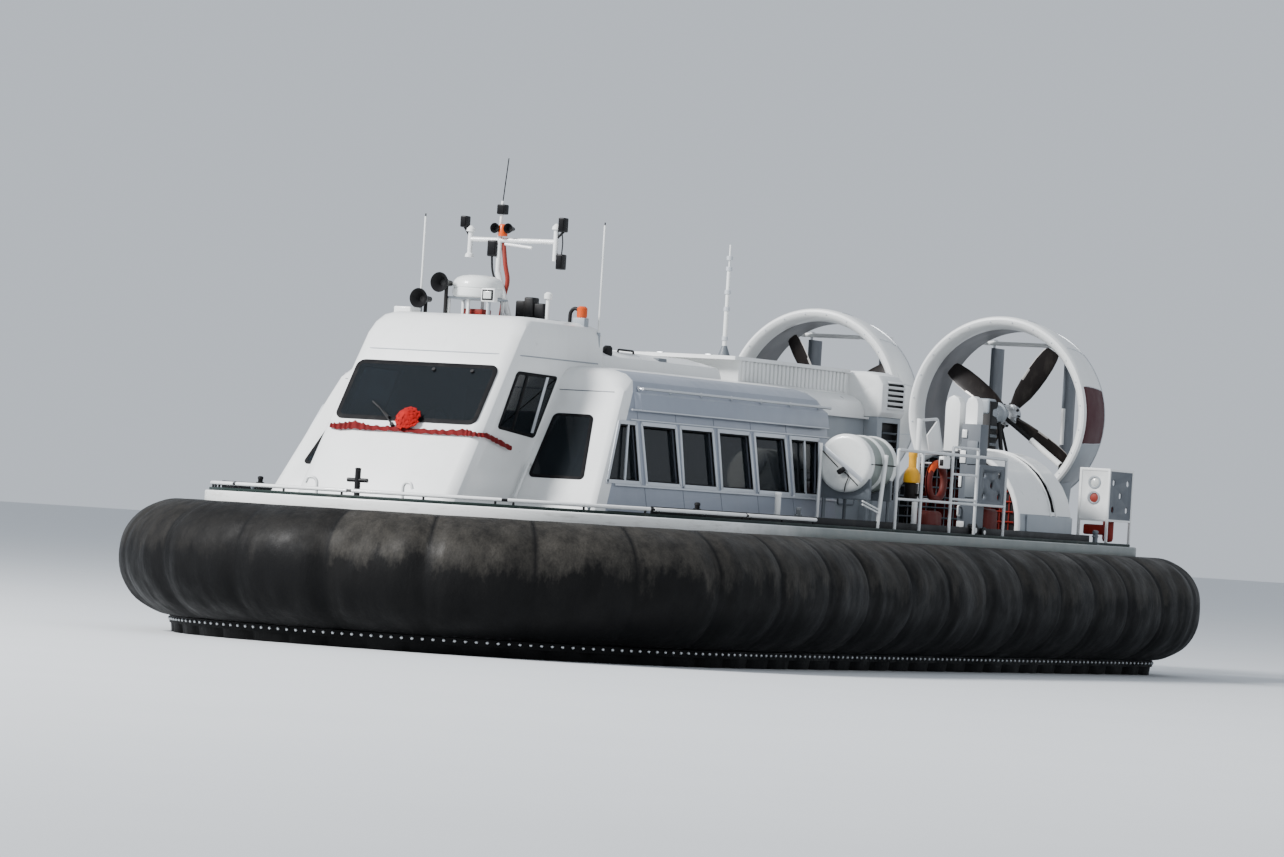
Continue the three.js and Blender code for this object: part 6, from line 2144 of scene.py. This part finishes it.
@dataclass
class RoofGear:
    """The radome, signal mast, lamps, horns, speakers and aerials on the pilothouse."""

    roof_z: float = 3.64
    mast_y: float = -3.7

    def build(self) -> None:
        """Makes the roof gear."""
        self.radome()
        self.mast()
        self.lamps()
        self.aerials()

    def radome(self) -> None:
        """Makes the radome on its stand."""
        x, y, base = -0.15, -4.13, 3.835
        roof = self.roof_z
        profile = [
            (0.05, 0), (0.235, 0.0), (0.255, 0.012), (0.265, 0.04), (0.265, 0.085), (0.259, 0.09),
            (0.259, 0.10), (0.265, 0.105), (0.263, 0.14), (0.25, 0.175), (0.22, 0.205), (0.17, 0.226),
            (0.10, 0.237), (0.03, 0.24),
        ]
        parts = [paint(turned("dome", profile, (x, y, base), Axis.Z, 64), Finish.GELCOAT)]
        for z0, z1 in ((roof, roof + 0.012), (base - 0.02, base + 0.003)):
            shelf = block("shelf", (x - 0.27, y - 0.17, z0), (x + 0.27, y + 0.17, z1), 0.004)
            add(parts, Finish.PALE_GREY, shelf)
        for sx in (-0.25, -0.02, 0.22):
            for sy in (-0.15, 0.15):
                low = (x + sx - 0.014, y + sy - 0.014, roof + 0.005)
                high = (x + sx + 0.014, y + sy + 0.014, base - 0.01)
                add(parts, Finish.WHITE, block("leg", low, high, 0.003))
        unit = block("red_unit", (x - 0.10, y - 0.10, roof + 0.012), (x + 0.12, y + 0.1, roof + 0.08), 0.01)
        add(parts, Finish.RED, unit)
        fitted(joined("radome_on_stand", parts), CRAFT, "white_gelcoat", "radome")

    def mast(self) -> None:
        """Makes the signal mast with its cross bar, whip and strut."""
        y, parts = self.mast_y, []
        base = self.roof_z + 0.0115
        rods = (
            ((0.0, base), (-0.17, 4.13), 0.032), ((-0.17, 4.10), (-0.17, 4.62), 0.026),
            ((-0.52, 4.47), (0.50, 4.47), 0.026), ((-0.52, 4.30), (-0.52, 4.56), 0.027),
            ((0.50, 4.27), (0.50, 4.62), 0.027), ((-0.17, 4.61), (-0.16, 4.88), 0.016),
            ((-0.10, 4.43), (0.22, 4.40), 0.016),
        )
        for (x0, z0), (x1, z1), radius in rods:
            add(parts, Finish.WHITE, tube("rod", [(x0, y, z0), (x1, y, z1)], radius, sides=4))
        add(parts, Finish.BLACK, tube("whip", [(-0.16, y, 4.87), (-0.12, y, 5.328)], 0.006, sides=2))
        low, high = (-0.15, y - 0.11, self.roof_z), (0.15, y + 0.11, self.roof_z + 0.012)
        add(parts, Finish.WHITE, block("base", low, high, 0.003))
        cap = [(0.05, 0), (0.045, 0.03), (0.015, 0.06)]
        for x, z in ((-0.52, 4.57), (0.50, 4.62), (-0.52, 4.30)):
            add(parts, Finish.WHITE, turned("cap", cap, (x, y, z - 0.02), Axis.Z, 20))
        conduit = [
            (-0.14, y + 0.03, 4.45), (-0.10, y + 0.03, 4.2), (-0.06, y + 0.04, 4.05),
            (-0.10, y + 0.04, 3.9), (-0.12, y + 0.03, 3.66),
        ]
        add(parts, Finish.FADED_RED, tube("conduit", conduit, 0.024, 0.1))
        line = ((-0.24, 4.36), (-0.22, 4.12), (-0.12, 3.95), (-0.05, 3.66))
        add(parts, Finish.BLACK, tube("wire", [(x, y - 0.03, z) for x, z in line], 0.012, 0.1, 2))
        fitted(joined("signal_mast_gear", parts), CRAFT, "white_paint", "signal_mast")

    def lamps(self) -> None:
        """Makes the floodlights, lamps, horns and boxes."""
        y, parts = self.mast_y, []
        for x, z, wide, deep, tall in (
            (-0.595, 4.65, 0.075, 0.10, 0.12), (0.575, 4.65, 0.075, 0.10, 0.15), (0.575, 4.265, 0.08, 0.10, 0.16),
            (-0.155, 4.79, 0.10, 0.09, 0.105), (-0.235, 4.38, 0.11, 0.10, 0.17),
        ):
            w, d, h = wide / 2, deep / 2, tall / 2
            add(parts, Finish.BLACK, block("floodlight", (x - w, y - d, z - h), (x + w, y + d, z + h), 0.012))
            w, h = 0.4 * wide, 0.4 * tall
            face = block("lens", (x - w, y - d - 0.006, z - h), (x + w, y - d + 0.01, z + h), 0.006)
            add(parts, Finish.TRIM, face)
        for x0, z0, x1, z1 in (
            (-0.602, 4.60, -0.53, 4.50), (0.585, 4.58, 0.50, 4.50), (0.575, 4.30, 0.50, 4.36),
            (-0.24, 4.40, -0.17, 4.42),
        ):
            add(parts, Finish.BLACK, tube("arm", [(x0, y, z0), (x1, y, z1)], 0.014, sides=2))
        line = ((0.58, 4.58), (0.60, 4.47), (0.59, 4.30))
        add(parts, Finish.BLACK, tube("wire", [(x, y - 0.03, z) for x, z in line], 0.007, 0.05, 2))
        beacon = [(0.05, 0), (0.05, 0.10), (0.035, 0.125)]
        add(parts, Finish.LAMP, turned("beacon", beacon, (-0.12, y - 0.03, 4.51), Axis.Z, 24))
        speaker = [(0.02, 0.09), (0.03, 0.04), (0.055, -0.03), (0.05, -0.035), (0.02, 0.02)]
        for x in (-0.19, -0.03):
            add(parts, Finish.BLACK, turned("speaker", speaker, (x, y - 0.06, 4.59), Axis.Y, 24))
        r = 0.105
        horn = [(0.03, 0.22), (0.035, 0.12), (r * 0.7, 0.05), (r, -0.02), (r * 0.95, -0.03), (0.03, 0.06)]
        for x, py, z in ((-0.424, -4.45, 3.972), (-0.69, -4.40, 3.80)):
            add(parts, Finish.BLACK, turned("horn", horn, (x, py, z), Axis.Y, 28))
            post = [(x, py + 0.14, self.roof_z), (x, py + 0.14, z)]
            add(parts, Finish.BLACK, tube("horn_post", post, 0.02))
        add(parts, Finish.WHITE, block("led", (0.075, -4.46, 3.79), (0.235, -4.38, 3.93), 0.012, 3))
        add(parts, Finish.BLACK, block("led_bezel", (0.09, -4.466, 3.805), (0.22, -4.45, 3.915), 0.004))
        add(parts, Finish.LENS, block("led_face", (0.108, -4.475, 3.822), (0.202, -4.455, 3.898), 0.006))
        post = [(0.155, -4.42, self.roof_z), (0.155, -4.42, 3.81)]
        add(parts, Finish.PALE_GREY, tube("led_post", post, 0.018))
        for low, high in (
            ((0.02, -3.62, 3.66), (0.13, -3.48, 3.85)), ((0.13, -3.64, 3.66), (0.24, -3.5, 3.89)),
            ((0.24, -3.62, 3.66), (0.36, -3.48, 3.83)),
        ):
            add(parts, Finish.BLACK, block("black_box", low, high, 0.015, 3))
        tray = block("tray", (0.03, -3.66, self.roof_z), (0.48, -3.44, 3.665), 0.006)
        add(parts, Finish.PALE_GREY, tray)
        post = [(0.022, 0), (0.022, 0.23), (0.045, 0.24), (0.045, 0.29), (0.02, 0.31)]
        spot = (0.43, -3.66, self.roof_z - 0.002)
        add(parts, Finish.WHITE, turned("capped_post", post, spot, Axis.Z, 24))
        lamp = [(0.05, 0), (0.055, 0.02), (0.055, 0.10), (0.035, 0.12)]
        add(parts, Finish.LAMP, turned("orange_lamp", lamp, (0.78, -3.55, 3.70), Axis.Z, 24))
        add(parts, Finish.PALE_GREY, block("lamp_base", (0.70, -3.60, 3.56), (0.84, -3.50, 3.70), 0.008))
        line = ((0.64, 3.60), (0.64, 3.75), (0.68, 3.80), (0.76, 3.78))
        add(parts, Finish.BLACK, tube("hose", [(x, -3.55, z) for x, z in line], 0.020, 0.06))
        add(parts, Finish.WHITE, block("white_box", (-0.86, -4.62, 3.58), (-0.66, -4.40, 3.70), 0.012, 3))
        fitted(joined("roof_lamps", parts), CRAFT, "black_plastic")

    def aerials(self) -> None:
        """Makes the two whip aerials at the roof's corners."""
        parts = []
        for x, y, low, high in ((-0.76, -4.25, 3.58, 4.66), (0.895, -3.38, 3.40, 4.68)):
            add(parts, Finish.PALE_GREY, tube("base", [(x, y, low), (x, y, low + 0.16)], 0.022, sides=4))
            add(parts, Finish.WHITE, tube("whip", [(x, y, low + 0.14), (x, y, high)], 0.011, sides=3))
            add(parts, Finish.BLACK, tube("tip", [(x, y, high), (x, y, high + 0.03)], 0.007, sides=2))
        fitted(joined("whip_aerials", parts), CRAFT, "white_paint")


@dataclass
class Studio:
    """The camera at the photograph's angle, a pale floor at the waterline and soft light."""

    eye: Point = (30.565, -58.318, 1.634)
    azimuth: float = 27.9
    elevation: float = -0.88
    roll: float = 3.54
    lens: float = 168.22
    waterline: float = 0.2

    def build(self) -> None:
        """Sets up the camera, the backdrop and the lights."""
        self.camera()
        self.backdrop()
        self.lights()

    def camera(self) -> None:
        """Adds the camera."""
        az, el, roll = (math.radians(v) for v in (self.azimuth, self.elevation, self.roll))
        back = Vector((math.sin(az) * math.cos(el), -math.cos(az) * math.cos(el), math.sin(el)))
        level = Vector((math.cos(az), math.sin(az), 0.0))
        rise = back.cross(level)
        right = math.cos(roll) * level + math.sin(roll) * rise
        up = math.cos(roll) * rise - math.sin(roll) * level
        data = bpy.data.cameras.new("camera")
        data.sensor_width = 36.0
        data.sensor_fit = "HORIZONTAL"
        data.lens = self.lens
        data.clip_end = 500.0
        camera = bpy.data.objects.new("camera", data)
        bpy.context.collection.objects.link(camera)
        turn = Matrix((right, up, back)).transposed().to_4x4()
        camera.matrix_world = Matrix.Translation(self.eye) @ turn
        bpy.context.scene.camera = camera

    def backdrop(self) -> None:
        """Adds the floor and a plain pale sky."""
        bpy.ops.object.select_all(action="DESELECT")
        bpy.ops.mesh.primitive_plane_add(size=600.0, location=(0, 0, self.waterline))
        floor = bpy.context.object
        floor.name = "floor"
        g = Graph("floor_pale")
        g.link(g.mix(g.noise(0.4), (0.60, 0.62, 0.64), (0.64, 0.66, 0.68)), "Base Color")
        g.set(Roughness=0.75)
        floor.data.materials.append(g.material)
        world = bpy.data.worlds.new("pale_sky")
        bpy.context.scene.world = world
        world.use_nodes = True
        background = world.node_tree.nodes["Background"]
        background.inputs["Color"].default_value = (0.74, 0.80, 0.88, 1.0)
        background.inputs["Strength"].default_value = 0.85

    def lights(self) -> None:
        """Adds a broad key light from the starboard bow and a fill from port."""
        for name, place, size, power in (
            ("key", (-26.0, -40.0, 34.0), 12.0, 70000.0),
            ("fill", (34.0, -16.0, 16.0), 20.0, 1800.0),
        ):
            data = bpy.data.lights.new(name, "AREA")
            data.size = size
            data.energy = power
            light = bpy.data.objects.new(name, data)
            bpy.context.collection.objects.link(light)
            aim = Vector((0, 0, 1.5)) - Vector(place)
            light.matrix_world = Matrix.Translation(place) @ aim.to_track_quat("-Z", "Y").to_matrix().to_4x4()


KEPT_FINISHES: dict[str, Finish] = {
    "black_plastic": Finish.BLACK, "black_metal": Finish.BLACK, "blade_black": Finish.BLADE,
    "bare_steel": Finish.STEEL, "seat_fabric": Finish.SEAT, "red_paint": Finish.RED,
    "dark_glass": Finish.GLASS, "grey_paint": Finish.GREY, "white_paint": Finish.WHITE,
    "white_gelcoat": Finish.GELCOAT, "deck_paint": Finish.WHITE, "skirt_rubber": Finish.RUBBER,
}


def dress_kept_nodes() -> None:
    """Gives each frame node that stays in view its finish."""
    slots = {entry["node"]: entry["material_slot"] for entry in frame["record"]["subparts"]}
    for name, node in frame["nodes"].items():
        finish = KEPT_FINISHES[slots[name]]
        for place in node.material_slots:
            place.material = finish.made


def main() -> None:
    """Builds the studio and every piece of the craft, in order."""
    logging.basicConfig(level=logging.INFO, format="%(name)s: %(message)s")
    plan = Plan()
    Studio().build()
    dress_kept_nodes()
    house = Pilothouse()
    for part in (
        Hull(), Skirt(plan), ToeRail(plan), house, Ribbon(house), Cabin(), Interior(), Machinery(),
        Propulsion(), LiftFans(), DeckGear(), RoofGear(),
    ):
        part.build()
        log.info("%s built", type(part).__name__)


if __name__ == "__main__":
    main()
